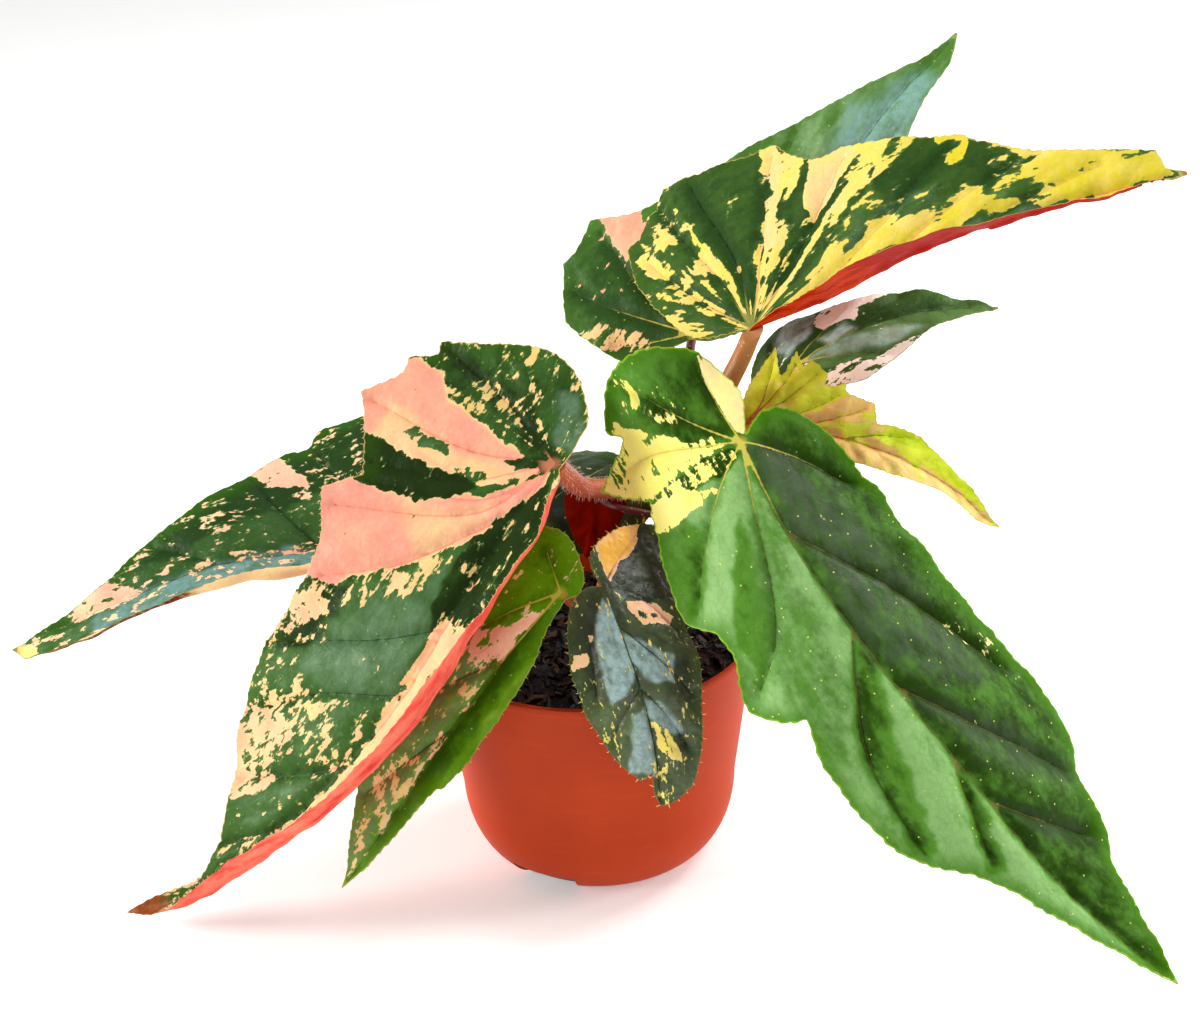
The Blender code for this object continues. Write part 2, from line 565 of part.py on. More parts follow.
def margin_of(blade, step):
    """The closed margin, once round."""
    loop = []
    for half in (blade.left, blade.right[::-1]):
        for stretch in runs(half):
            loop.append(smooth(stretch, step)[:-1])
    return np.vstack(loop)


def inside(points, loop):
    """Which points lie inside a closed loop."""
    found = np.zeros(len(points), bool)
    for (ax, ay), (bx, by) in zip(loop, np.roll(loop, -1, axis=0)):
        crosses = (ay > points[:, 1]) != (by > points[:, 1])
        level = (points[:, 1] - ay) / (by - ay if by != ay else 1e-12)
        found ^= crosses & (points[:, 0] < ax + level * (bx - ax))
    return found


def apart(points, others, distance):
    """Which points lie further than a distance from all the others."""
    gaps = np.linalg.norm(points[:, None] - others[None], axis=2)
    return gaps.min(axis=1) > distance


def flat_mesh(blade, surface, step):
    """The flat blade as points and triangles, with edges along its midrib, its veins and its roll."""
    loop = margin_of(blade, step)
    loop = np.minimum(loop, [surface.length, 1e9])
    lines = [[(0, 0), (surface.length - step, 0)], *blade.veins]
    for i in range(ROLL_STEPS if blade.roll else 0):
        shift = blade.roll_radius * math.pi / ROLL_STEPS * i
        lines.append([(along, across + shift) for along, across in blade.roll])
    points, edges = list(loop), [(i, (i + 1) % len(loop)) for i in range(len(loop))]
    taken = loop
    for line in lines:
        route = smooth(line, step) if len(line) > 2 else np.linspace(*np.array(line, float), 12)
        route = route[inside(route, loop) & apart(route, loop, 0.3 * step)]
        route = route[np.r_[True, np.linalg.norm(np.diff(route, axis=0), axis=1) > 0]] if len(route) else route
        first = len(points)
        points.extend(route)
        edges.extend((i, i + 1) for i in range(first, len(points) - 1))
        taken = np.vstack([taken, route]) if len(route) else taken
    low, high = loop.min(axis=0), loop.max(axis=0)
    grid = []
    for row, y in enumerate(np.arange(low[1], high[1], step * math.sqrt(3) / 2)):
        grid.extend((x, y) for x in np.arange(low[0] + (row % 2) * step / 2, high[0], step))
    grid = np.array(grid)
    grid = grid[inside(grid, loop)]
    points.extend(grid[apart(grid, taken, 0.62 * step)])
    found = delaunay_2d_cdt([Vector(p) for p in points], edges, [list(range(len(loop)))], 1, 1e-4)
    return np.array([tuple(p) for p in found[0]]), [tuple(face) for face in found[2]]


def make_blade(blade):
    """One blade: the flat mesh set in space and made BLADE_THICKNESS thick, with the same triangles on both
    sides."""
    surface = Surface(blade)
    step = min(BLADE_STEP, max(BLADE_STEP_LEAST, surface.length / BLADE_STEPS_LONG))
    flat, faces = flat_mesh(blade, surface, step)
    place, facing = surface.place(flat[:, 0], flat[:, 1])
    place = place + surface.pleat(flat)[:, None] * facing
    corners = place[np.array(faces)]
    slopes = np.cross(corners[:, 1] - corners[:, 0], corners[:, 2] - corners[:, 0])
    normals = np.zeros_like(place)
    for k in range(3):
        np.add.at(normals, np.array(faces)[:, k], slopes)
    normals = unit(normals) * BLADE_THICKNESS / 2
    count = len(place)
    points = np.vstack([place + normals, place - normals])
    made = list(faces) + [(c + count, b + count, a + count) for a, b, c in faces]
    ends = {(a, b) for face in faces for a, b in zip(face, face[1:] + face[:1])}
    for a, b in sorted(ends):
        if (b, a) not in ends:
            made += [(b, a, a + count), (b, a + count, b + count)]
    return object_from(blade.name, points, made, finish(blade.name, blade.colour, 0.35), 60.0)


def seat_of(name, radius):
    """Where a petiole of a radius meets the underside of its blade, and the way the blade faces there."""
    blade = next(b for b in BLADES if b.name == name)
    surface = Surface(blade)
    place, _, up = surface.midrib(np.array([0.0]))
    dip = 0.0
    turns = np.linspace(0, 2 * math.pi, 16, endpoint=False)
    for reach in (radius, BLADE_STEP):
        rim, _ = surface.place(reach * np.cos(turns), reach * np.sin(turns))
        dip = min(dip, float(((rim - place) @ up[0]).min()) * radius / reach)
    return place[0] + up[0] * (dip - BLADE_THICKNESS / 2 - GAP), up[0]


def make_stem(name, stem):
    """A round tapering rod along a smooth route, closed at both ends."""
    route, head = [tuple(p) for p in stem.route], None
    if stem.blade:
        seat, head = seat_of(stem.blade, stem.radii[1])
        route += [tuple(seat)]
    line = smooth(route, 7.0)
    ahead = unit(np.gradient(line, axis=0))
    if head is not None:
        ahead[-1] = head
    cross = np.cross(ahead[0], (0.0, 1.0, 0.0))
    points = []
    for i, (place, way) in enumerate(zip(line, ahead)):
        cross = unit(cross - (cross @ way) * way)
        other = np.cross(way, cross)
        radius = stem.radii[0] + (stem.radii[1] - stem.radii[0]) * i / (len(line) - 1)
        for k in range(stem.sides):
            turn = 2 * math.pi * k / stem.sides
            points.append(place + radius * (math.cos(turn) * cross + math.sin(turn) * other))
    n, rows = stem.sides, len(line)
    faces = [tuple(range(n - 1, -1, -1)), tuple(range(n * (rows - 1), n * rows))]
    for row in range(rows - 1):
        for k in range(n):
            a, b = row * n + k, row * n + (k + 1) % n
            faces.append((a, b, b + n, a + n))
    return object_from(name, points, faces)


def make_cane(name, cane, petioles, colour):
    """A cane with its petioles, joined into one body."""
    body = make_stem(name, cane)
    group = bpy.data.collections.new(name + " petioles")
    for i, petiole in enumerate(petioles):
        rod = make_stem(f"petiole {i}", petiole)
        bpy.context.scene.collection.objects.unlink(rod)
        group.objects.link(rod)
    joining = body.modifiers.new("join", "BOOLEAN")
    joining.operation = "UNION"
    joining.operand_type = "COLLECTION"
    joining.collection = group
    settle(body)
    for rod in list(group.objects):
        bpy.data.objects.remove(rod)
    bpy.data.collections.remove(group)
    body.data.materials.clear()
    body.data.materials.append(finish(name, colour, 0.5))
    body.data.shade_smooth()
    body.data.set_sharp_from_angle(angle=math.radians(50))
    return body


def build():
    for old in list(bpy.data.objects):
        bpy.data.objects.remove(old)
    make_pot()
    make_compost()
    make_cane("cane_tall", CANE_TALL, TALL_PETIOLES, CANE_BROWN)
    make_cane("cane_short", CANE_SHORT, SHORT_PETIOLES, CANE_PINK)
    for blade in BLADES:
        make_blade(blade)


build()
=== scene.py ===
"""The looks of the potted begonia: fine leaf blades with their markings, stems, compost and pot, set
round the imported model. Lengths are in millimetres until MM turns them into metres."""

import math
import random
from dataclasses import dataclass, field

import bpy
import numpy as np
from mathutils import Matrix, Vector, kdtree, noise
from mathutils.geometry import delaunay_2d_cdt


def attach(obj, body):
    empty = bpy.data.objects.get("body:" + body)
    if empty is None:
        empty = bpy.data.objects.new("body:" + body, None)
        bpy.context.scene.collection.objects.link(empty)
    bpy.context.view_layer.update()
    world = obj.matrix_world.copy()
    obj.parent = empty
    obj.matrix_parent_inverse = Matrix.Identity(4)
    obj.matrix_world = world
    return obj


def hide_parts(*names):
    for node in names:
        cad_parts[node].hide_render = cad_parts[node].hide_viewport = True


MM = 0.001
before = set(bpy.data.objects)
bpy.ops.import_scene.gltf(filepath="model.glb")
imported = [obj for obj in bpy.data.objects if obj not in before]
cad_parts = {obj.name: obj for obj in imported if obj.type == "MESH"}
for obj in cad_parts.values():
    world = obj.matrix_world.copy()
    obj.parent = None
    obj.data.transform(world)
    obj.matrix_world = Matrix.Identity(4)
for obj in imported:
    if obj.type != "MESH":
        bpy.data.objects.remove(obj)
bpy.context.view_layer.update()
SEED = 7
COARSE = 1.0

# The view: a camera in front of the pot and above it, tilted a little, in degrees and millimetres
VIEW_ELEVATION = 26.6
VIEW_ROLL = -2.68
VIEW_DISTANCE = 850.0
VIEW_TARGET = (4.7, 0.0, 132.9)
VIEW_LENS = 71.13
VIEW_SENSOR = 36.0

# The stage, in metres: each lamp has its place, size, power and colour
FLOOR_REACH = 6.0
FLOOR_GLOW = 0.3
WORLD_STRENGTH = 0.34
LAMPS_AIM = (0.0, 0.0, 0.13)
LAMPS = {
    "key": ((-1.4, -0.3, 0.58), 0.6, 24.0, (1.0, 0.98, 0.94)),
    "fill": ((1.2, -0.1, 0.6), 0.7, 7.0, (1.0, 0.97, 0.93)),
    "back": ((0.9, 0.6, 0.95), 0.5, 9.0, (1.0, 1.0, 1.0)),
    "top": ((0.45, 0.1, 1.3), 0.5, 7.0, (1.0, 1.0, 1.0)),
}

# The pot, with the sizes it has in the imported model
RIM_RADIUS = 60.0
POT_HEIGHT = 89.0
SHOULDER_RADIUS = 51.2
SHOULDER_HEIGHT = 28.8
FOOT_RADIUS = 34.9
POT_WALL = 1.5
LIP_BAND = 3.4
LIP_BEAD = 0.5  # how far the lip stands out past the rim's radius
DRAIN_ANGLES = (240.0, 60.0)
DRAIN_SPREAD = 33.0
DRAIN_INNER_RADIUS = 25.0
DRAIN_DEPTH = 8.5
POT_SEGMENTS = 200
POT_EDGE_GAP = 0.012  # radians kept free of other points at each edge of a slot

# The compost: a rough body and the bark shreds on it
COMPOST_HEIGHT = 81.5
COMPOST_GAP = 0.8  # to the inside of the pot
COMPOST_SEGMENTS = 120
COMPOST_RINGS = 34
COMPOST_WAVES = ((9.0, 2.4), (4.0, 1.2), (1.6, 0.7))  # length and height
COMPOST_SHADE = 0.3  # from dark at 0 to light at 1, as each shred has its own
SHREDS = 850
SHRED_STEPS = 6
SHRED_LENGTHS = (4, 13)
SHRED_WIDTHS = (1.0, 3.0)
SHRED_THICKNESSES = (0.4, 0.9)
SHRED_TILT = 0.5
SHRED_SPIN = 0.8
SHRED_ARCH = 4.5
SHRED_CLEAR = 0.6  # above the body, and to its edge
SHRED_MARGIN = 2.5  # from the edge to the middle of a shred

# The sheets of the blades
BLADE_THICKNESS = 0.55
RIM_THICKNESS = 0.3
RIM_TAPER = 3.0  # how far from the margin the sheet thins
SECTION_STEPS = 30  # of each half, to sum up its curl
SEAT_RADIUS = 6.0  # of the flat seat round the end of the petiole
MIDRIB_REACH = 0.97  # the share of the midrib that is a vein
CREASE_WIDTH = 1.8
TWIG_WIDTH = 2.2
WAVE_LENGTH = 15.0
WAVE_BAND = 7.0  # how far from the margin its waves fade

# Their margins and small veins
TOOTH_RISE = 0.75  # the share of a tooth that rises
TIP_CALM = 12.0  # how near to the tip and to the petiole the teeth fade
NOTCH_CALM = 15.0
TWIG_SPACING = 1.7  # in cells of the look
TWIG_LENGTH = 1.8
TWIG_STEP = 1.5
TWIG_BEND = 2.5  # degrees in each step
TWIG_ANGLES = (42, 58)
TWIG_CLEAR = 2.0  # how near it may come to another main vein

# Stems and hairs. The nodes are heights of the rings round a cane, and the head is a stem's upper end
STEM_HOLE_FLOOR = 58.0
STEM_SIDES = 20
STEM_STEP = 1.6
TALL_NODES = (97, 114, 135, 151, 163)
SHORT_NODES = (95, 108)
NODE_SWELL = 0.8
NODE_LENGTH = 2.2
HEAD_SINK = 0.25  # below the middle of the blade's sheet
HEAD_SWELL = 0.5
HEAD_LENGTH = 1.5
HAIR_SIDES = 3
HAIR_RADIUS = 0.07
HAIR_LENGTHS = (1.0, 2.4)
HAIR_CURVE = 0.25
HAIR_SINK = 0.1
STEM_LUMPS = 0.05
LUMP_LENGTH = 6.0

# The skin of the blades, in the millimetres of the flat blade. A noise has its size, detail, roughness and
# the shift that sets it apart from the others
CLOUD = (14.0, 3, 0.5, 1.3)
MOTTLE = (2.6, 4, 0.6, 4.1)
PATCH = ((8.0, 4.0, 1.0), 2, 0.5, 9.0)
# GLEAM mottles the painted sheen, a reflection painted into the colour
GLEAM = ((7.0, 3.0, 1.0), 3, 0.5, 15.0)
RAYS = ((3.4, 20.0, 1.0), 2, 0.5, 3.0)
UNDER_GREY = ((12.0, 2.2, 1.0), 3, 0.5, 21.0)
PORES = (1.8, 3, 0.55, 31.0)
FLECK = (3, 0.55, 7.0)  # its size comes from the look's grain
FLECK_LENGTH = 2.2
SWAY_SIZE = 6.0
NET_SIZE = 3.0
SPOT_SIZE = 3.4
# how far from a vein the painted shade of its valley reaches
VALLEY_SHADE_WIDTH = 6.0
RAY_RADIUS = 28.0  # where the way round the petiole is measured for the rays
NO_VEIN = 9.0  # what a bristle has for its distance from veins and margin


def tone(red, green, blue):
    """A colour given on the 0 to 255 scale of a screen, as linear light."""
    parts = [part / 255 for part in (red, green, blue)]
    return tuple(p / 12.92 if p < 0.04045 else ((p + 0.055) / 1.055) ** 2.4 for p in parts)


PALEST = tone(255, 244, 220)
DRY_BROWNS = (tone(84, 36, 16), tone(176, 96, 44))
STEM_TONES = (tone(176, 106, 44), tone(196, 120, 66), tone(206, 92, 66), tone(150, 60, 44), tone(92, 22, 20))
STEM_STREAK = tone(150, 128, 58)
STEM_SPOT = tone(232, 200, 150)
HAIR_TONES = (tone(250, 236, 224), tone(236, 204, 188))
BARK_TONES = (tone(3, 2, 1), tone(9, 5, 4), tone(24, 13, 9), tone(92, 56, 40))
POT_TONES = (tone(180, 56, 12), tone(190, 62, 16))
POT_SCUFF = tone(214, 100, 60)
PAPER_TONES = ((0.93, 0.93, 0.93), (0.95, 0.95, 0.95))


@dataclass
class Blade:
    """One leaf blade. Its margin and veins are flat (along, across) points: along runs up the midrib from the
    petiole, and across is to the left of it. A third value marks a tooth, where the margin turns sharply."""

    name: str
    spine: list  # the midrib in space, from the petiole to the tip
    faces: list  # where the upper side faces, at the petiole and at the tip
    left: list  # the margin left of the midrib, from the notch at the petiole to the tip
    right: list  # the margin right of it, the same way
    veins: list = field(default_factory=list)
    lift: tuple = ((0, 0), (0, 0))  # degrees that the left and right halves rise, at petiole and tip
    curl: tuple = (0, 0)  # further degrees for each 10 mm from the midrib, left and right
    back: float = 0  # degrees for each 10 mm that the lobes behind the petiole bend up
    roll: list = field(default_factory=list)  # (along, across) points where the left half starts to roll up
    roll_radius: float = 3.0
    pleat: float = 1.6  # depth of the valleys along the veins
    pleat_width: float = 5.0


@dataclass
class Look:
    """How one blade looks. A zone is (fields, softness, outline): inside the flat outline each named field
    takes the value given, and the outline is blurred over the softness."""

    slot: str
    zones: list = field(default_factory=list)
    greens: tuple = (tone(38, 66, 26), tone(66, 104, 48), tone(104, 142, 92))  # dark, middle and light
    edge: tuple = tone(66, 106, 22)  # the green near the margin
    edge_share: float = 0.6
    # painted sheen: a bluish-grey reflection painted into the colour where the zones give it
    painted_sheen: tuple = tone(96, 112, 100)
    pales: tuple = (tone(236, 216, 84), tone(240, 210, 140), tone(250, 182, 142), tone(250, 158, 132))
    fringe: float = 0.5  # how much of the halo shows round the flecks
    halo: tuple = tone(112, 140, 80)
    painted_valley_shade: float = 0.35  # painted shade: how much darker the green is in the valleys along the veins
    vein: tuple = tone(206, 196, 84)  # the veins as far as the reach from the petiole
    vein_reach: float = 45.0
    vein_far: tuple = tone(34, 52, 20)
    vein_width: float = 0.5
    blush: tuple = tone(240, 128, 104)  # the veins where the blade is pale
    rim: tuple = tone(150, 184, 50)
    rim_width: float = 0.7
    under: tuple = (tone(120, 44, 28), tone(150, 84, 48))
    under_turn: tuple = (1000.0, 1100.0)  # where along the blade its underside turns to the first of these
    under_light: float = 0.0  # how much of it has the second before that
    brown_from: float = 1000.0  # where along it the dry brown tip starts
    pale: float = 0.0  # share of pale flecks outside the zones
    tint: float = 0.3  # their colour, from yellow at 0 to pink at 1
    ragged: float = 0.8  # how much the flecks break up the edges of the zones
    streak: float = 0.3  # how much they lie in rays from the petiole
    grain: float = 2.4  # size of the flecks
    dots: float = 0.5  # how bright the small dots are
    dot: tuple = tone(206, 216, 96)
    step: float = 1.5  # of the mesh
    teeth: tuple = (5.0, 0.8)  # spacing and depth
    cell: float = 9.0  # size of the puffs between the veins
    quilt: float = 0.3  # height of the puffs
    pebble: float = 0.0  # height of small bumps
    wave: float = 0.8  # height of the waves along the margin
    crease: float = 0.8  # depth of the creases along the veins
    roughness: float = 0.42
    shine: float = 0.07
    bristle: tuple = (0, 0)  # spacing and length of the bristles along the margin


BLADES = [
    Blade(
        "blade_large_right",
        spine=[(54, -25, 172), (68, -50, 150), (89, -75, 123), (119, -95, 87), (153, -108, 44),
               (194, -116, 4)],
        faces=[(-0.1, -0.55, 0.83), (0.1, -0.45, 0.9)],
        left=[(-2, 3), (-7, 12), (-2, 24), (20, 35), (68, 41), (110, 46), (135, 48), (160, 45), (178, 35),
              (195, 28), (203, 19), (226, 9), (244, 0)],
        right=[(-2, 3), (-18, 7), (-36, -3), (-42, -18), (-35, -34), (-22, -42, 1), (-17, -38), (-9, -56, 1),
               (1, -38, 1), (24, -44), (41, -48), (53, -39, 1), (63, -39), (76, -46), (86, -39), (90, -31, 1),
               (105, -37), (130, -38), (147, -34), (166, -20), (190, -12), (244, 0)],
        veins=[[(35, 0), (74, 23), (122, 41)], [(100, 0), (140, 21), (168, 36)], [(150, 0), (188, 23)],
               [(0, 0), (10, 14), (28, 32)], [(75, 0), (112, -24), (148, -30)], [(128, 0), (165, -14)],
               [(0, 0), (41, -12), (64, -24), (76, -41)], [(0, 0), (14, -17), (42, -43)], [(0, 0), (-10, -28),
               (-10, -50)], [(0, 0), (-27, -25), (-33, -34)], [(0, 0), (-31, -3)]],
        lift=((-5, -5), (5, 5)),
        curl=(-6, -8),
        back=12,
        pleat=2.4,
        pleat_width=7.0,
    ),
    Blade(
        "blade_large_left",
        spine=[(-10, -25, 167), (-29, -42, 149), (-49, -58, 126), (-66, -66, 102), (-88, -68, 76),
               (-112, -65, 51), (-144, -57, 21), (-174, -50, 7)],
        faces=[(-0.25, -0.72, 0.6), (-0.35, -0.6, 0.6)],
        left=[(1, 3), (12, 12), (30, 16), (55, 17), (72, 20), (90, 21), (120, 19), (150, 16), (180, 13),
              (205, 10), (225, 5), (244, 0)],
        right=[(1, 3), (-13, 4), (-24, -3), (-32, -15), (-32, -28), (-25, -43), (-16, -60, 1), (-11, -59),
               (-5, -66, 1), (2, -65), (15, -73, 1), (26, -63), (38, -55, 1), (49, -65, 1), (66, -55),
               (87, -53), (123, -53, 1), (151, -44), (178, -23), (198, -9), (212, -4), (230, -3), (244, 0)],
        veins=[[(0, 0), (12, -30), (15, -68)], [(0, 0), (-10, -28), (-15, -56)], [(0, 0), (22, -24),
               (33, -56)], [(0, 0), (24, -14), (39, -52)], [(0, 0), (30, -14), (52, -58)], [(20, 0),
               (57, -25), (76, -48)], [(69, 0), (96, -30), (120, -50)], [(96, 0), (120, -25), (152, -40)],
               [(130, 0), (172, -24)], [(165, 0), (194, -9)]],
        lift=((10, 4), (10, 4)),
        back=5,
        roll=[(0, 2), (26, 11), (90, 11), (110, 10), (140, 8), (165, 5), (190, 2), (244, 0)],
        pleat=2.4,
        pleat_width=6.0,
    ),
    Blade(
        "blade_far_left",
        spine=[(-41, 15, 147), (-67, 8, 134), (-97, 2, 126), (-134, -2, 123), (-172, -3, 110),
               (-214, 0, 90)],
        faces=[(-0.1, -0.6, 0.75), (-0.1, -0.6, 0.75)],
        left=[(-3, 1), (0, 6), (20, 15), (50, 18), (80, 18), (105, 16), (125, 13), (150, 13), (165, 12),
              (178, 7), (185, 0)],
        right=[(-3, 1), (-12, -4), (-15, -16), (-4, -34), (24, -49), (48, -51), (58, -44), (75, -41),
               (88, -33), (107, -24), (125, -17), (142, -8), (162, -3), (185, 0)],
        veins=[[(0, 0), (10, -22), (22, -44)], [(30, 0), (46, -24), (54, -44)], [(61, 0), (77, -22),
               (84, -34)], [(99, 0), (122, -16)]],
        lift=((5, 0), (5, 0)),
        curl=(0, -4),
        back=5,
        roll=[(0, 4), (30, 9), (100, 9), (130, 8), (160, 9), (185, 3)],
    ),
    Blade(
        "blade_top",
        spine=[(61, 5, 201), (87, -2, 215), (119, -12, 235), (157, -22, 251), (199, -30, 263)],
        faces=[(-0.35, -0.72, 0.6), (-0.35, -0.7, 0.6)],
        left=[(-2, 0), (-23, 7), (-36, 23), (-47, 39), (-55, 59, 1), (-47, 60, 1), (-45, 70, 1), (-39, 71, 1),
              (-37, 81, 1), (-21, 78), (1, 74), (20, 73, 1), (28, 61), (37, 54), (48, 54, 1), (65, 45),
              (87, 36, 1), (97, 28), (119, 18), (148, 10, 1), (150, 3, 1), (157, 0)],
        right=[(-2, 0), (3, -4), (13, -7), (30, -14), (47, -20), (60, -21), (69, -19), (80, -14), (90, -10),
               (98, -7), (105, -5), (113, -3), (135, -2), (157, 0)],
        veins=[[(0, 0), (-17, 18), (-43, 48)], [(0, 0), (-11, 28), (-37, 70)], [(0, 0), (-2, 32), (-20, 74)],
               [(0, 0), (10, 31), (18, 70)], [(0, 0), (20, 18), (48, 50)], [(15, 0), (56, 16), (84, 34)],
               [(49, 0), (90, 15), (112, 20)], [(85, 0), (130, 10)]],
        lift=((0, 88), (0, 68)),
        curl=(-4, 0),
        back=-5,
        pleat=1.8,
    ),
    Blade(
        "blade_top_back",
        spine=[(42, 52, 181), (68, 58, 206), (92, 64, 229), (115, 70, 258), (141, 78, 282)],
        faces=[(-0.3, -0.75, 0.6), (-0.3, -0.75, 0.6)],
        left=[(-2, -1), (-23, 9), (-29, 25), (-31, 41, 1), (-16, 58, 1), (-8, 57), (3, 62, 1), (19, 49),
              (41, 42), (76, 30), (105, 14), (124, 5), (145, 0)],
        right=[(-2, -1), (4, -8), (21, -17), (52, -25), (83, -22), (104, -13), (127, -7), (136, -5),
               (145, 0)],
        veins=[[(0, 0), (-2, 27), (2, 55)], [(0, 0), (-13, 27), (-21, 46)], [(0, 0), (-16, 12), (-24, 20)],
               [(0, 0), (25, 24), (50, 36)], [(30, 0), (60, 18), (82, 24)], [(40, 0), (72, -18)], [(75, 0),
               (104, -9)]],
    ),
    Blade(
        "blade_dark_back",
        spine=[(71, 45, 162), (84, 41, 176), (102, 38, 187), (128, 38, 193), (153, 41, 191)],
        faces=[(0.0, -0.35, 0.95), (0.0, -0.35, 0.95)],
        left=[(-2, 0), (-9, 8), (-6, 21), (2, 26), (19, 20), (40, 15), (64, 11), (77, 5), (94, 0)],
        right=[(-2, 0), (-5, -6), (2, -13), (14, -18), (28, -21), (39, -22), (54, -16), (65, -10), (77, -6),
               (94, 0)],
        veins=[[(10, 0), (25, 8), (37, 13)], [(32, 0), (45, 4), (57, 10)], [(12, 0), (35, -9), (48, -15)],
               [(0, 0), (2, 20)], [(0, 0), (12, -22)]],
        lift=((0, -5), (0, -5)),
        curl=(-4, -8),
    ),
    Blade(
        "blade_young_lime",
        spine=[(58, 5, 165), (83, -5, 165), (107, -14, 160), (127, -22, 150), (143, -28, 136)],
        faces=[(-0.1, -0.6, 0.75), (0, -0.6, 0.75)],
        left=[(-1, 0), (-3, 9), (0, 19), (5, 30, 1), (8, 21), (10, 21), (13, 29, 1), (16, 24, 1), (19, 26, 1),
              (24, 22, 1), (25, 18), (31, 20, 1), (33, 16), (42, 15, 1), (45, 8, 1), (52, 10), (60, 10, 1),
              (67, 7), (80, 4), (100, 0)],
        right=[(-1, 0), (4, -6), (20, -9), (37, -9), (60, -7), (75, -4), (90, -3), (100, 0)],
        veins=[[(0, 0), (4, 10), (5, 26)], [(0, 0), (9, 14), (13, 25)], [(0, 0), (14, 13), (21, 22)], [(6, 0),
               (22, 9), (30, 16)], [(17, 0), (33, 8), (40, 13)], [(35, 0), (47, 5), (57, 8)]],
        lift=((5, 5), (5, 5)),
        pleat=1.2,
        pleat_width=3.5,
    ),
    Blade(
        "blade_front_left",
        spine=[(-10, -42, 126), (-32, -56, 107), (-58, -66, 76), (-75, -68, 51), (-93, -66, 24)],
        faces=[(-0.3, -0.65, 0.7), (-0.3, -0.7, 0.6)],
        left=[(1, 3), (14, 5), (25, 9), (41, 11), (67, 11), (79, 10, 1), (84, 7), (102, 5), (120, 3),
              (137, 0)],
        right=[(1, 3), (-4, 5), (-10, 2), (-16, -8), (-16, -17), (-11, -25), (0, -28), (20, -30), (50, -32),
               (80, -27), (100, -18), (112, -12), (124, -6), (137, 0)],
        veins=[[(0, 0), (-8, -14)], [(0, 0), (20, -12), (48, -26)], [(30, 0), (53, -13), (76, -22)], [(60, 0),
               (84, -8), (102, -14)]],
        lift=((-15, 5), (-15, 5)),
        curl=(-8, -5),
        back=5,
    ),
    Blade(
        "blade_front_centre",
        spine=[(5, -42, 128), (10, -56, 118), (16, -67, 101), (20, -72, 79), (21, -74, 57)],
        faces=[(0, -0.6, 0.8), (0, -0.75, 0.6)],
        left=[(0, -1), (-8, -2), (-14, 1), (-18, 9), (-19, 18), (-16, 27), (-6, 30), (10, 26), (24, 23),
              (36, 23), (50, 20), (64, 16), (76, 12), (82, 6), (84, 0)],
        right=[(0, -1), (-1, -7), (6, -15), (22, -20), (40, -21), (54, -18), (66, -13), (73, -6, 1),
               (70, -2, 1), (78, -2), (84, 0)],
        veins=[[(0, 0), (-8, 8), (-17, 20)], [(0, 0), (9, 12), (24, 20)], [(0, 0), (17, -11), (38, -16)],
               [(16, 0), (32, 10), (46, 17)], [(39, 0), (50, 6), (64, 12)], [(39, 0), (48, -9), (56, -14)]],
        lift=((-5, -5), (-5, -5)),
        curl=(-8, -8),
        back=8,
    ),
    Blade(
        "blade_red_underside",
        spine=[(4, 8, 140), (1.5, 3, 128), (-1, -2, 117)],
        faces=[(0.15, 0.9, 0.3), (0.15, 0.95, 0.1)],
        left=[(0, 0), (-4, 4), (-2, 9), (4, 11), (12, 9), (19, 5), (25, 0)],
        right=[(0, 0), (-4, -4), (-2, -9), (4, -11), (12, -9), (19, -5), (25, 0)],
        veins=[[(0, 0), (10, 7)], [(0, 0), (10, -7)]],
        lift=((-5, -5), (-5, -5)),
        pleat=0.8,
    ),
    Blade(
        "blade_small_grey",
        spine=[(20, 9, 136), (14, 6, 128), (8, 3, 120)],
        faces=[(-0.1, -0.8, 0.5), (-0.1, -0.8, 0.5)],
        left=[(0, 0), (-2, 3), (1, 6), (7, 6), (14, 4), (21.5, 0)],
        right=[(0, 0), (-2, -3), (1, -6), (7, -6), (14, -4), (21.5, 0)],
        veins=[[(0, 0), (8, 5)], [(0, 0), (8, -5)]],
        lift=((5, 5), (5, 5)),
        pleat=0.6,
    ),
    Blade(
        "blade_back",
        spine=[(0, 36, 131), (-8, 58, 127), (-22, 88, 118), (-38, 116, 105)],
        faces=[(-0.1, 0.15, 0.97), (0.0, 0.3, 0.97)],
        left=[(-2, 0), (-14, 1), (-28, 4), (-32, 12), (-25, 23), (-8, 28), (18, 27), (42, 24), (65, 16),
              (82, 7), (93, 0)],
        right=[(-2, 0), (-8, -7), (-8, -16), (2, -22), (20, -22), (42, -18), (65, -12), (82, -5), (93, 0)],
        veins=[[(0, 0), (-5, 14)], [(0, 0), (17, 21)], [(26, 0), (50, 16)], [(0, 0), (-3, -15)], [(0, 0),
               (18, -17)], [(28, 0), (52, -12)]],
        curl=(-2, -2),
        back=-30,
    ),
]
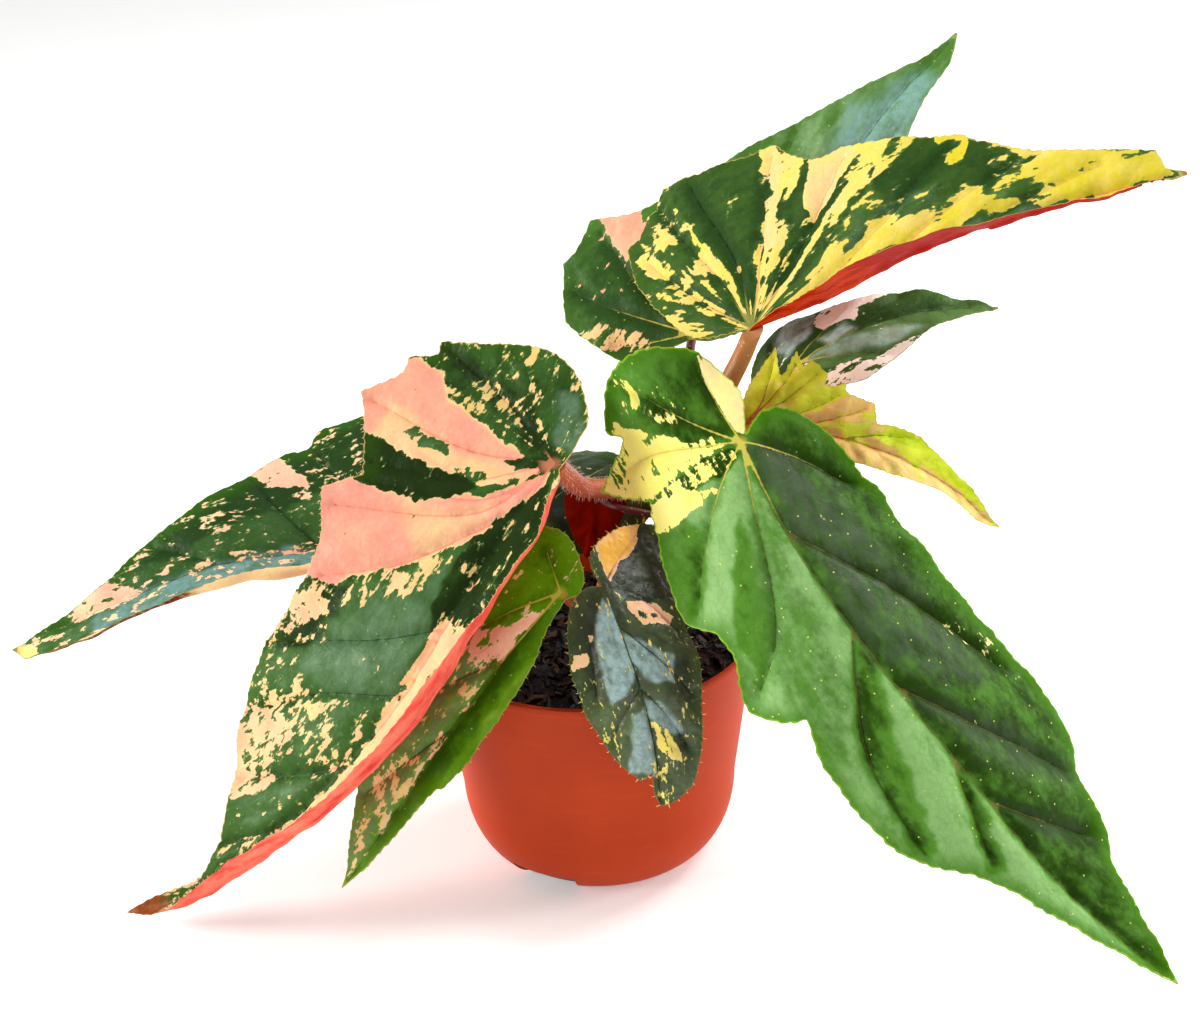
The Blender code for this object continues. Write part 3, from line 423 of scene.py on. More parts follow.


# Each zone's sheen share paints a bluish-grey reflection into the blade's colour: a painted sheen
LOOKS = {
    "blade_large_right": Look(
        "leaf_dark_green",
        greens=(tone(36, 64, 4), tone(84, 136, 44), tone(136, 180, 108)),
        edge=tone(66, 122, 0),
        edge_share=0.8,
        pales=(tone(255, 246, 112), tone(255, 242, 150), tone(254, 218, 160), tone(250, 188, 146)),
        painted_sheen=tone(78, 94, 70),
        vein_reach=36.0,
        vein_far=tone(126, 116, 56),
        blush=tone(240, 204, 96),
        rim=tone(140, 190, 34),
        rim_width=0.8,
        dots=0.95,
        step=1.4,
        crease=1.3,
        zones=[
            ({"dark": 0.75}, 6, [(0, 2), (-8, 14), (20, 40), (140, 60), (244, 30), (244, 0), (120, 1)]),
            ({"dark": -0.3}, 3, [(0, -2), (40, -1), (120, -1), (244, -1), (244, -30), (120, -50), (20, -60)]),
            ({"painted_sheen": 0.95}, 12, [(2, 1), (8, 10), (20, 18), (41, 24), (62, 29), (84, 31), (66, 20), (50, 8),
                (34, 1)]),
            ({"painted_sheen": 0.8}, 12, [(47, 2), (55, 12), (67, 20), (83, 25), (100, 31), (120, 33), (118, 24),
                (111, 13), (88, 1), (69, 0)]),
            ({"painted_sheen": 0.65}, 11, [(105, 2), (116, 13), (129, 22), (144, 28), (163, 36), (174, 37), (159, 20),
                (139, 6)]),
            ({"painted_sheen": 0.45}, 9, [(155, 3), (167, 15), (179, 21), (189, 24), (176, 6)]),
            ({"dark": 0.4}, 6, [(13, -41), (15, -30), (22, -27), (39, -37), (44, -50), (15, -50)]),
            # painted shade: darker bands beside the lower veins, in the valleys where the blade folds
            ({"dark": 0.6}, 5, [(80, -1), (106, -24), (144, -32), (148, -26), (110, -12), (92, -2)]),
            ({"dark": 0.55}, 5, [(134, -1), (152, -12), (166, -17), (170, -12), (150, -4)]),
            ({"dark": 0.5}, 4, [(23, -12), (50, -17), (62, -24), (71, -35), (60, -36), (36, -22)]),
            ({"painted_sheen": 0.35, "dark": 0.1}, 8, [(20, -3), (60, -6), (90, -14), (110, -32), (80, -34),
                (40, -16)]),
            ({"dark": 0.6}, 4, [(-5, 0), (-4, -30), (-20, -34), (-40, -10), (-32, 3)]),
            ({"pale": 1, "tint": 0.5}, 2, [(-33, -1), (-30, 3), (-19, 8), (-6, 7), (-1, 0), (-10, 0),
                (-21, -2)]),
            ({"pale": 0.66, "tint": 0.05, "dark": 0.3}, 2, [(-24, -38), (-14, -23), (-7, -12), (-1, -1),
                (-1, -10), (0, -21), (0, -34), (0, -43), (-9, -60), (-20, -44)]),
            ({"pale": 0.54, "tint": 0.15, "dark": 1}, 2, [(0, -3), (0, -40), (7, -28), (8, -11), (4, -3)]),
            ({"pale": 0.8, "tint": 0.1}, 2, [(2, -40), (10, -46), (16, -38), (14, -26), (11, -14), (7, -22)]),
            ({"pale": 0.34, "tint": 0.3}, 3, [(85, 27), (90, 31), (101, 40), (116, 44), (122, 42), (109, 33),
                (97, 27)]),
            ({"pale": 0.36, "tint": 0.1}, 3, [(-14, -16), (-26, -38), (-36, -30), (-22, -12)]),
            ({"pale": 0.3, "tint": 0.0, "dark": 0}, 5, [(226, -8), (244, 4), (244, -8)]),
        ],
    ),
    "blade_large_left": Look(
        "leaf_pink_green",
        greens=(tone(30, 48, 14), tone(56, 92, 36), tone(96, 128, 84)),
        edge=tone(54, 92, 14),
        edge_share=0.4,
        painted_sheen=tone(98, 128, 98),
        pales=(tone(230, 196, 112), tone(240, 196, 140), tone(240, 170, 134), tone(238, 150, 130)),
        vein=tone(196, 120, 90),
        vein_reach=7.0,
        blush=tone(238, 118, 100),
        rim=tone(220, 190, 130),
        rim_width=0.5,
        under=(tone(224, 56, 54), tone(244, 118, 94)),
        under_light=0.06,
        brown_from=224.0,
        pale=0.29,
        streak=0.5,
        tint=0.25,
        dots=0.3,
        step=1.3,
        teeth=(4.0, 0.7),
        bristle=(2.0, 1.3),
        zones=[
            ({"dark": 0.6, "pale": 0.3, "tint": 0.05}, 3, [(0, 0), (5, -30), (-6, -66), (-20, -62),
                (-36, -30), (-30, 6)]),
            ({"painted_sheen": 0.9, "pale": 0.15}, 4, [(-6, 4), (-16, 2), (-26, -8), (-22, -14), (-6, -5)]),
            ({"pale": 1, "tint": 0.8}, 2, [(20, -80), (0, -72), (-5, -65), (-7, -55), (1, -45), (2, -30),
                (4, -16), (1, -2), (6, -2), (17, -13), (22, -22), (24, -32), (25, -42), (26, -53),
                (27, -64)]),
            ({"tint": 0.32}, 6, [(12, -62), (14, -30), (8, -6), (17, -13), (21, -20), (24, -42), (27, -60)]),
            ({"pale": 0.46, "tint": 0.2, "dark": 0.0}, 1.5, [(19, -53), (14, -49), (14, -37), (17, -32),
                (21, -42)]),
            ({"pale": 0.46, "tint": 0.2, "dark": 0.0}, 1.5, [(21, -31), (17, -25), (15, -16), (20, -18),
                (22, -25)]),
            ({"pale": 0.1, "dark": 0.6}, 1.5, [(10, -18), (1, -6), (1, -1), (8, -8)]),
            ({"dark": 1, "pale": 0.16, "tint": 0.1}, 2, [(26, -66), (25, -53), (24, -42), (23, -31),
                (21, -24), (21, -18), (25, -20), (30, -24), (37, -33), (39, -45), (41, -58), (36, -66)]),
            ({"pale": 1, "tint": 0.95}, 2, [(52, -72), (41, -58), (39, -45), (37, -33), (30, -24), (22, -15),
                (13, -5), (3, 0), (14, 2), (24, -1), (31, -3), (43, -13), (55, -23), (64, -32), (71, -40),
                (76, -41), (79, -49), (96, -56), (83, -60)]),
            ({"tint": 0.55}, 8, [(36, -44), (32, -22), (24, -10), (34, -6), (52, -22), (44, -34)]),
            ({"dark": 1, "pale": 0.36}, 3, [(74, -36), (82, -34), (104, -38), (128, -52), (100, -60),
                (80, -56)]),
            ({"pale": 0.58, "tint": 0.5}, 2, [(94, -56), (82, -46), (84, -40), (97, -42), (112, -48),
                (116, -56)]),
            ({"painted_sheen": 0.7, "pale": 0.12, "dark": 0}, 14, [(45, -8), (62, -12), (72, -26), (98, -38),
                (120, -36), (110, -12), (96, -4), (60, -3)]),
            ({"pale": 0.44, "tint": 0.25}, 2, [(66, -34), (57, -17), (58, -11), (67, -17), (78, -28),
                (78, -34)]),
            ({"pale": 0.48, "tint": 0.25}, 2, [(136, -44), (134, -29), (118, -22), (102, -12), (106, -10),
                (118, -15), (138, -24), (148, -36)]),
            ({"pale": 0.62, "tint": 0.45}, 2, [(172, -50), (149, -42), (140, -30), (138, -23), (143, -17),
                (157, -18), (166, -14), (174, -17), (184, -23), (178, -40)]),
            ({"tint": 0.45}, 4, [(176, -38), (160, -26), (162, -16), (180, -20)]),
            ({"pale": 0.32, "dark": 0.2}, 4, [(118, -11), (130, -20), (158, -14), (176, -14), (190, -12),
                (190, -3), (150, -3), (116, -3)]),
            ({"dark": 1, "pale": 0.24, "tint": 0.2, "painted_sheen": 0}, 2, [(8, 2), (15, -1), (25, -5), (36, -8),
                (48, -9), (60, -8), (70, -5), (74, 0), (68, 6), (66, 14), (20, 12)]),
            ({"pale": 0.8, "tint": 0.4}, 2, [(66, -1), (73, -3), (87, -2), (101, -1), (113, 0), (129, 1),
                (150, 1), (150, 20), (76, 24), (64, 12)]),
            ({"pale": 0.6, "tint": 0.3}, 2, [(150, 0), (150, 14), (200, 10), (200, -1)]),
        ],
    ),
    "blade_far_left": Look(
        "leaf_speckled",
        greens=(tone(36, 62, 26), tone(54, 88, 40), tone(92, 122, 84)),
        edge=tone(52, 96, 16),
        edge_share=0.7,
        painted_sheen=tone(112, 150, 146),
        pales=(tone(236, 214, 120), tone(244, 212, 156), tone(250, 190, 156), tone(248, 170, 148)),
        rim=tone(96, 140, 40),
        rim_width=0.5,
        under=(tone(112, 38, 18), tone(244, 208, 150)),
        under_turn=(98.0, 120.0),
        under_light=0.35,
        brown_from=180.0,
        pale=0.28,
        tint=0.5,
        dots=0.2,
        step=1.3,
        teeth=(4.5, 0.5),
        zones=[
            ({"dark": 1, "pale": 0.28}, 5, [(20, -20), (60, -22), (110, -10), (150, -6), (150, -40),
                (20, -60)]),
            ({"painted_sheen": 1, "pale": 0.34, "dark": 0}, 4, [(70, -3), (100, 0), (135, -1), (150, 4), (150, 14),
                (50, 12)]),
            ({"dark": 0, "pale": 0.3}, 4, [(150, -6), (182, -3), (182, 14), (150, 14)]),
            ({"pale": 0.8, "tint": 0.8}, 2, [(88, -40), (76, -44), (65, -34), (59, -26), (71, -27),
                (80, -31)]),
            ({"pale": 0.66, "tint": 0.7}, 2, [(165, -6), (141, -10), (129, 1), (140, 1), (156, 1)]),
            ({"pale": 0.5, "tint": 0.3}, 2, [(111, -18), (103, -12), (93, -14), (100, -18)]),
            ({"pale": 1, "tint": 0.4}, 2, [(40, 7), (84, 9), (112, 11), (118, 22), (30, 22)]),
            ({"pale": 0.8, "tint": 0.0}, 3, [(174, 3), (186, -4), (190, 8), (176, 14)]),
        ],
    ),
    "blade_top": Look(
        "leaf_yellow_green",
        greens=(tone(40, 68, 26), tone(62, 94, 36), tone(104, 136, 76)),
        edge=tone(60, 92, 20),
        edge_share=0.3,
        painted_sheen=tone(104, 136, 112),
        pales=(tone(212, 198, 32), tone(234, 210, 96), tone(240, 202, 142), tone(240, 176, 130)),
        vein=tone(130, 140, 60),
        vein_reach=20.0,
        rim=tone(196, 180, 90),
        rim_width=0.5,
        under=(tone(160, 12, 2), tone(200, 58, 18)),
        under_turn=(40.0, 66.0),
        under_light=0.1,
        brown_from=152.0,
        pale=0.45,
        tint=0.3,
        ragged=0.5,
        streak=1.0,
        grain=3.2,
        fringe=0.35,
        dots=0.1,
        step=1.2,
        teeth=(4.0, 0.7),
        zones=[
            ({"pale": 0.41, "tint": 0.35, "dark": 0.5}, 3, [(-62, 60), (-45, 75), (-36, 84), (-14, 38),
                (-1, 4), (0, 0), (-26, 4), (-42, 24), (-52, 40)]),
            ({"pale": 0.1, "dark": 0.7}, 2, [(-34, 84), (-22, 82), (0, 78), (12, 78), (14, 68), (13, 47),
                (6, 28), (1, 8), (-3, 24), (-12, 40), (-24, 62)]),
            ({"pale": 0.4, "tint": 0.4, "dark": 0.8}, 2, [(14, 76), (50, 60), (60, 34), (30, 14), (8, 8),
                (8, 24), (15, 50)]),
            ({"pale": 0.75, "tint": 0.5}, 2, [(14, 76), (21, 74), (22, 51), (18, 40), (12, 26), (10, 30),
                (15, 50)]),
            ({"pale": 0.9, "tint": 0.55}, 2, [(37, 58), (50, 57), (52, 47), (40, 35), (32, 30), (29, 36),
                (32, 46)]),
            ({"pale": 0.28, "dark": 0.8}, 3, [(60, 50), (89, 38), (110, 24), (100, 18), (87, 17), (76, 16),
                (59, 17), (56, 34)]),
            ({"pale": 0.75, "tint": -0.1}, 2, [(79, 42), (90, 38), (88, 24), (80, 26)]),
            ({"pale": 0.36, "dark": 0.6, "painted_sheen": 0.3}, 3, [(30, 9), (46, 19), (62, 22), (77, 21), (74, 14),
                (56, 9)]),
            ({"pale": 0.72, "tint": 0.08}, 2, [(112, 18), (152, 10), (152, 1), (128, -2), (103, 4), (86, 4),
                (72, 3), (56, 5), (46, 6), (80, 12), (96, 15)]),
            ({"pale": 0.7, "tint": 0.2}, 2, [(63, 9), (54, 15), (40, 12), (26, 8), (32, 5), (54, 5)]),
            ({"painted_sheen": 0.9, "pale": 0.3}, 2, [(70, 3), (100, 2), (130, 0), (156, 0), (130, -3), (80, 0)]),
        ],
    ),
    "blade_top_back": Look(
        "leaf_dark_green",
        greens=(tone(46, 78, 32), tone(76, 120, 50), tone(128, 168, 112)),
        edge=tone(74, 120, 40),
        edge_share=0.4,
        painted_sheen=tone(128, 172, 160),
        rim=tone(130, 160, 70),
        rim_width=0.5,
        pale=0.16,
        tint=0.6,
        step=1.3,
        teeth=(5.0, 0.5),
        zones=[
            ({"dark": 0.8}, 6, [(10, 0), (-2, 66), (-36, 60), (-40, 0)]),
            ({"dark": 0, "pale": 0.05}, 8, [(60, 34), (100, 20), (150, 0), (120, -14), (90, -24), (50, -10)]),
            ({"pale": 1, "tint": 0.8}, 2, [(6, 66), (20, 52), (14, 40), (6, 38), (2, 40), (4, 50)]),
            ({"pale": 0.48, "tint": 0.4}, 2, [(-32, 38), (-22, 30), (-15, 18), (-12, 8), (-20, 8),
                (-30, 26)]),
            ({"painted_sheen": 1}, 8, [(80, 8), (101, 12), (108, 6), (126, 1), (128, -8), (104, -18), (84, -10)]),
        ],
    ),
    "blade_dark_back": Look(
        "leaf_very_dark",
        greens=(tone(48, 78, 34), tone(88, 122, 66), tone(150, 178, 136)),
        edge=tone(80, 118, 44),
        edge_share=0.5,
        painted_sheen=tone(180, 208, 204),
        pales=(tone(250, 234, 160), tone(255, 244, 206), tone(255, 244, 228), tone(255, 242, 228)),
        blush=tone(255, 196, 176),
        rim=tone(120, 150, 80),
        rim_width=0.4,
        pale=0.12,
        tint=0.8,
        step=1.1,
        teeth=(4.0, 0.4),
        roughness=0.36,
        zones=[
            ({"dark": 0.9}, 3, [(0, 0), (0, 30), (94, 10), (94, 1)]),
            ({"painted_sheen": 0.9}, 3, [(3, 18), (12, 24), (26, 20), (22, 11), (10, 5)]),
            ({"pale": 0.85, "tint": 0.9}, 2, [(22, 14), (30, 19), (48, 18), (56, 14), (47, 10), (38, 6),
                (27, 8)]),
            ({"painted_sheen": 1, "dark": 0}, 3, [(24, 4), (36, 5), (40, 1), (28, -2)]),
            ({"painted_sheen": 0.6, "dark": -0.1}, 3, [(13, -1), (31, -2), (49, -5), (66, -8), (48, -12), (33, -8)]),
            ({"pale": 0.56, "tint": 0.9, "dark": 1}, 2, [(20, -9), (32, -13), (42, -15), (50, -14), (62, -10),
                (56, -20), (36, -26), (20, -22)]),
        ],
    ),
    "blade_young_lime": Look(
        "leaf_lime",
        greens=(tone(176, 214, 24), tone(240, 255, 70), tone(255, 255, 140)),
        edge=tone(204, 222, 34),
        edge_share=0.4,
        painted_sheen=tone(210, 206, 110),
        pales=(tone(255, 246, 104), tone(255, 236, 128), tone(255, 220, 126), tone(255, 204, 116)),
        halo=tone(216, 206, 60),
        vein=tone(206, 120, 70),
        vein_far=tone(124, 146, 26),
        blush=tone(226, 130, 80),
        rim=tone(214, 196, 90),
        rim_width=0.5,
        under=(tone(210, 150, 90), tone(220, 190, 100)),
        pale=0.3,
        tint=0.45,
        ragged=0.8,
        streak=0.5,
        grain=2.6,
        dots=0.1,
        step=0.9,
        teeth=(3.0, 0.5),
        cell=6.0,
        quilt=0.55,
        crease=1.2,
        shine=0.15,
        zones=[
            ({"dark": 0.1}, 4, [(-8, -16), (104, -16), (104, 34), (-8, 34)]),
            ({"pale": 0.62, "tint": 0.7}, 3, [(8, 2), (24, 8), (36, 20), (44, 16), (38, 6), (52, 2), (62, -8),
                (34, -12), (10, -6)]),
            ({"pale": 0.2, "tint": 0.3}, 3, [(0, 4), (10, 12), (26, 14), (24, 32), (-4, 34)]),
            ({"pale": 0.15, "dark": 0.5}, 2, [(48, 3), (64, 3), (90, 2), (84, 12), (50, 14)]),
            ({"pale": 0.72, "tint": 0.7}, 2, [(44, 1), (64, 0), (96, 0), (96, -6), (60, -10)]),
        ],
    ),
    "blade_front_left": Look(
        "leaf_speckled",
        greens=(tone(44, 82, 2), tone(90, 142, 6), tone(142, 184, 60)),
        edge=tone(96, 146, 12),
        edge_share=0.6,
        painted_sheen=tone(118, 140, 96),
        pales=(tone(232, 208, 100), tone(240, 206, 150), tone(242, 184, 150), tone(236, 150, 120)),
        vein=tone(190, 176, 60),
        rim=tone(150, 170, 70),
        rim_width=0.6,
        under=(tone(150, 110, 70), tone(130, 150, 80)),
        halo=tone(150, 164, 90),
        pale=0.32,
        tint=0.4,
        step=1.2,
        teeth=(4.5, 0.6),
        bristle=(5.0, 1.0),
        zones=[
            ({"dark": 0.8, "pale": 0.06}, 2, [(8, 0), (40, 0.5), (80, 0.5), (137, 0.5), (137, 8), (80, 14),
                (10, 14)]),
            ({"dark": 0, "pale": 0}, 2, [(24, 7), (70, 8), (128, 3), (80, 16), (20, 14)]),
            ({"painted_sheen": 0.75, "dark": 0.1, "pale": 0.36, "tint": 0.15}, 5, [(36, -1), (137, -1), (137, -20),
                (90, -36), (40, -36)]),
            ({"dark": 0.3, "pale": 0.2, "tint": 0.1}, 3, [(-12, -28), (-20, -14), (-12, 6), (2, 4), (14, -6),
                (24, -18), (2, -34)]),
            ({"pale": 0.66, "tint": 0.7}, 2, [(30, -15), (17, -5), (12, -1), (24, -0.5), (32, -2),
                (40, -10)]),
            ({"pale": 0.46, "tint": 0.15, "dark": 0}, 2, [(86, -12), (72, -4), (84, 0), (97, -2),
                (104, -12)]),
            ({"pale": 0.46, "tint": 0.15, "dark": 0}, 2, [(106, -18), (96, -11), (102, -3), (108, -6)]),
        ],
    ),
    "blade_front_centre": Look(
        "leaf_blue_grey",
        greens=(tone(46, 52, 34), tone(72, 84, 52), tone(96, 116, 66)),
        edge=tone(66, 92, 30),
        edge_share=0.3,
        painted_sheen=tone(160, 188, 186),
        pales=(tone(244, 226, 84), tone(246, 218, 140), tone(250, 198, 158), tone(255, 192, 62)),
        vein=tone(60, 64, 40),
        vein_reach=12.0,
        rim=tone(120, 130, 60),
        rim_width=0.4,
        under=(tone(110, 60, 45), tone(130, 80, 60)),
        pale=0.2,
        tint=0.1,
        grain=1.6,
        step=0.8,
        teeth=(2.6, 0.7),
        cell=8.0,
        quilt=0.3,
        pebble=0.25,
        crease=1.0,
        roughness=0.34,
        shine=0.3,
        bristle=(3.6, 1.6),
        zones=[
            ({"dark": 0.8, "pale": 0.02}, 2, [(-20, 22), (-4, 30), (14, 30), (10, 10), (2, 1), (-7, 8)]),
            ({"pale": 1.05, "tint": 1.0}, 1.2, [(-16, 1), (-19, 8), (-20, 22), (-13, 17), (-7, 8), (0, 2),
                (-4, 1.5)]),
            ({"dark": 0.7}, 2, [(0, -1), (-2, -9), (6, -18), (22, -24), (40, -24), (30, -12), (14, -9)]),
            ({"painted_sheen": 1}, 1.4, [(4, -2), (12, 0), (21, 0), (34, -0.5), (40, -6), (42, -12), (28, -11),
                (16, -9)]),
            ({"painted_sheen": 0.9, "dark": 0.3}, 1.4, [(18, 0), (26, 9), (32, 14), (41, 12), (36, 3), (29, 0)]),
            ({"dark": 0.7}, 1.5, [(16, 6), (24, 12), (34, 20), (54, 18), (46, 6), (38, 8), (30, 14)]),
            ({"painted_sheen": 0.9, "dark": 0}, 1.4, [(42, 0), (48, 8), (58, 11), (58, 5), (50, 0)]),
            ({"painted_sheen": 0.9, "dark": 0}, 1.4, [(48, -6), (46, -1), (61, 0), (72, -1), (70, -10)]),
            ({"pale": 0.9, "tint": 0.72}, 1, [(9, 5), (9, 10), (13, 17), (18, 20), (21, 17), (18, 9),
                (14, 5)]),
            ({"pale": 0.35, "dark": 1}, 0.8, [(12, 8), (15, 14), (17, 14), (15, 8)]),
            ({"pale": 0.8, "tint": 0.7}, 0.8, [(20, -19), (20, -14), (25, -15), (26, -20)]),
            ({"pale": 0.6, "tint": 0.65}, 0.8, [(14, -12), (16, -9), (18, -11), (18, -13)]),
            ({"pale": 0.78, "tint": 0.15}, 1, [(50, 0), (55, 4), (61, 7), (68, 10), (66, 5), (60, 1)]),
            ({"pale": 0.28, "tint": 0.1, "dark": 0}, 2, [(40, -14), (42, -4), (52, -5), (60, -12),
                (54, -18)]),
            ({"pale": 0.36, "tint": 0.0}, 1.5, [(68, 0), (66, 12), (86, 4), (84, -3)]),
        ],
    ),
    "blade_red_underside": Look(
        "leaf_red",
        greens=(tone(60, 20, 18), tone(80, 34, 26), tone(96, 60, 40)),
        vein=tone(96, 20, 18),
        vein_far=tone(90, 12, 10),
        rim=tone(120, 30, 24),
        rim_width=0.4,
        under=(tone(124, 10, 0), tone(100, 18, 4)),
        dots=0.2,
        step=0.8,
        teeth=(2.0, 0.3),
        cell=5.0,
        shine=0.15,
    ),
    "blade_small_grey": Look(
        "leaf_blue_grey",
        greens=(tone(58, 66, 40), tone(84, 88, 58), tone(118, 116, 78)),
        vein=tone(130, 90, 60),
        rim=tone(130, 70, 50),
        rim_width=0.6,
        under=(tone(120, 50, 40), tone(130, 80, 60)),
        pale=0.15,
        tint=0.1,
        step=0.7,
        teeth=(2.0, 0.3),
        cell=4.0,
    ),
    # A real leaf at the back, coloured near-black and darkest on the lobes behind its petiole: partly its own
    # dark colour, partly painted shade for the shadow behind the plant
    "blade_back": Look(
        "leaf_very_dark",
        greens=(tone(24, 34, 14), tone(44, 66, 26), tone(74, 104, 48)),
        pale=0.12,
        step=1.6,
        zones=[
            ({"dark": 1.0, "pale": 0, "painted_sheen": 0.1}, 6, [(-36, -4), (-36, 34), (4, 34), (4, -4)]),
        ],
    ),
}


def unit(vectors):
    return vectors / np.linalg.norm(vectors, axis=-1, keepdims=True)


def lengths_along(line):
    """How far along a line of points each of them is."""
    return np.concatenate([[0], np.cumsum(np.linalg.norm(np.diff(line, axis=0), axis=1))])


def smooth(points, count):
    """Points of a curve through the given ones, count to each span."""
    p = np.array(points, float)
    p = np.vstack([2 * p[0] - p[1], p, 2 * p[-1] - p[-2]])
    t = np.arange(count)[:, None] / count
    made = [b + 0.5 * t * (c - a + t * (2 * a - 5 * b + 4 * c - d + t * (3 * b - a - 3 * c + d)))
            for a, b, c, d in zip(p, p[1:], p[2:], p[3:])]
    return np.vstack([*made, p[-2:-1]])


def spaced(line, step):
    """Points along a line of points, evenly a step apart, and how far along it they are."""
    line = np.asarray(line, float)
    arc = lengths_along(line)
    at = np.linspace(0, arc[-1], max(2, round(arc[-1] / step) + 1))
    return np.stack([np.interp(at, arc, line[:, k]) for k in range(line.shape[1])], -1), at


class Surface:
    """The sheet that a blade follows: a point (along, across) of the flat blade has its place in space."""

    def __init__(self, blade):
        self.blade = blade
        self.line = smooth(blade.spine, 24)
        self.arc = lengths_along(self.line)
        self.length = self.arc[-1]
        self.ahead = unit(np.gradient(self.line, axis=0))
        t = (self.arc / self.length)[:, None]
        start, end = (unit(np.array(face, float)) for face in blade.faces)
        facing = (1 - t) * start + t * end
        self.up = unit(facing - (facing * self.ahead).sum(1, keepdims=True) * self.ahead)

    def midrib(self, along):
        """The place, the way ahead and the way up at points along the midrib and behind the petiole."""
        at = np.clip(along, 0, self.length)
        place, ahead, up = (np.stack([np.interp(at, self.arc, row[:, k]) for k in range(3)], -1)
                            for row in (self.line, self.ahead, self.up))
        ahead, up = unit(ahead), unit(up)
        bend = math.radians(self.blade.back) / 10 + 1e-9
        turn = (bend * np.maximum(-along, 0))[..., None]
        place = place - np.sin(turn) / bend * ahead + (1 - np.cos(turn)) / bend * up
        return place, np.cos(turn) * ahead - np.sin(turn) * up, np.sin(turn) * ahead + np.cos(turn) * up

    def place(self, along, across):
        """Where flat points lie in space, and the way that the upper side faces there."""
        origin, ahead, up = self.midrib(along)
        side = np.where(across >= 0, 1.0, -1.0)
        out = np.cross(up, ahead) * side[..., None]
        t = np.clip(along / self.length, 0, 1)
        half = np.where(across >= 0, 0, 1)
        start, end = (np.array(lift, float)[half] for lift in self.blade.lift)
        rise = np.radians(start + (end - start) * t)
        curl = np.radians(np.array(self.blade.curl, float)[half]) / 10
        reach = np.abs(across)
        step = reach / SECTION_STEPS
        run, climb = np.zeros_like(reach), np.zeros_like(reach)
        for i in range(SECTION_STEPS):
            angle = rise + curl * step * (i + 0.5) + self.rolled(along, side * step * (i + 0.5))
            run += np.cos(angle) * step
            climb += np.sin(angle) * step
        angle = rise + curl * reach + self.rolled(along, across)
        facing = np.cos(angle)[..., None] * up - np.sin(angle)[..., None] * out
        return origin + run[..., None] * out + climb[..., None] * up, unit(facing)

    def rolled(self, along, across):
        """The further angle that the rolled margin has turned through."""
        if not self.blade.roll:
            return 0.0
        start = np.interp(along, *zip(*self.blade.roll))
        return np.maximum(across - start, 0) / self.blade.roll_radius


def runs(points):
    """The stretches of a margin between its sharp turns."""
    stretch = []
    for point in points:
        stretch.append(point[:2])
        if len(point) == 3 and len(stretch) > 1:
            yield stretch
            stretch = [point[:2]]
    if len(stretch) > 1:
        yield stretch


def waver(at, size, shift):
    """A slow noise along a line, from about -1 to 1."""
    return np.array([noise.noise(Vector((s / size, shift, SEED))) for s in at])


def field_noise(points, size, shift):
    """The same over flat points."""
    return np.array([noise.noise(Vector((x / size, y / size, shift))) for x, y in points])


def margin_of(blade, look, step):
    """The closed margin, once round, with its small teeth, and the ways out of it."""
    loop = np.vstack([spaced(smooth(stretch, 10), step)[0][:-1]
                      for half in (blade.left, blade.right[::-1]) for stretch in runs(half)])
    ahead = np.roll(loop, -2, axis=0) - np.roll(loop, 2, axis=0)
    out = unit(np.stack([ahead[:, 1], -ahead[:, 0]], -1) + 1e-9)
    after = np.roll(loop, -1, axis=0)
    if np.sum(loop[:, 0] * after[:, 1] - loop[:, 1] * after[:, 0]) < 0:
        out = -out
    at = lengths_along(loop)
    spacing, depth = look.teeth
    phase = (at / spacing + 0.9 * waver(at, 23, 1)) % 1
    tooth = np.where(phase < TOOTH_RISE, phase / TOOTH_RISE, (1 - phase) / (1 - TOOTH_RISE))
    size = 0.7 + 0.9 * waver(at, 9, 2)
    tip = np.clip(np.linalg.norm(loop - loop[np.argmax(loop[:, 0])], axis=1) / TIP_CALM, 0, 1)
    notch = np.clip(np.linalg.norm(loop, axis=1) / NOTCH_CALM, 0, 1)
    sway = 0.5 * waver(at, 12, 3)
    return loop + out * ((depth * size * tooth + sway) * tip * notch)[:, None], out


def inside(points, loop):
    """Which points lie inside a closed loop."""
    found = np.zeros(len(points), bool)
    for (ax, ay), (bx, by) in zip(loop, np.roll(loop, -1, axis=0)):
        crosses = (ay > points[:, 1]) != (by > points[:, 1])
        level = (points[:, 1] - ay) / (by - ay if by != ay else 1e-12)
        found ^= crosses & (points[:, 0] < ax + level * (bx - ax))
    return found


class Near:
    """Finds the nearest of many flat points."""

    def __init__(self, points):
        self.tree = kdtree.KDTree(len(points))
        for i, (x, y) in enumerate(points):
            self.tree.insert((x, y, 0.0), i)
        self.tree.balance()

    def find(self, points):
        """The distance and the number of the nearest point to each of the points."""
        found = [self.tree.find((x, y, 0.0)) for x, y in points]
        return np.array([f[2] for f in found]), np.array([f[1] for f in found], int)


def twig_from(line, i, side, length, chance, others):
    """One small vein that leaves a main one at its point i, and stops short of the others."""
    way = unit(line[min(i + 2, len(line) - 1)] - line[max(i - 2, 0)])
    angle = side * math.radians(chance.uniform(*TWIG_ANGLES))
    point, route = line[i].copy(), [line[i].copy()]
    for _ in range(int(length * chance.uniform(0.7, 1.2) / TWIG_STEP)):
        angle -= side * math.radians(TWIG_BEND)
        point = point + TWIG_STEP * np.array([math.cos(angle) * way[0] - math.sin(angle) * way[1],
                                              math.sin(angle) * way[0] + math.cos(angle) * way[1]])
        if others.find([point])[0][0] < TWIG_CLEAR:
            break
        route.append(point)
    return np.array(route)


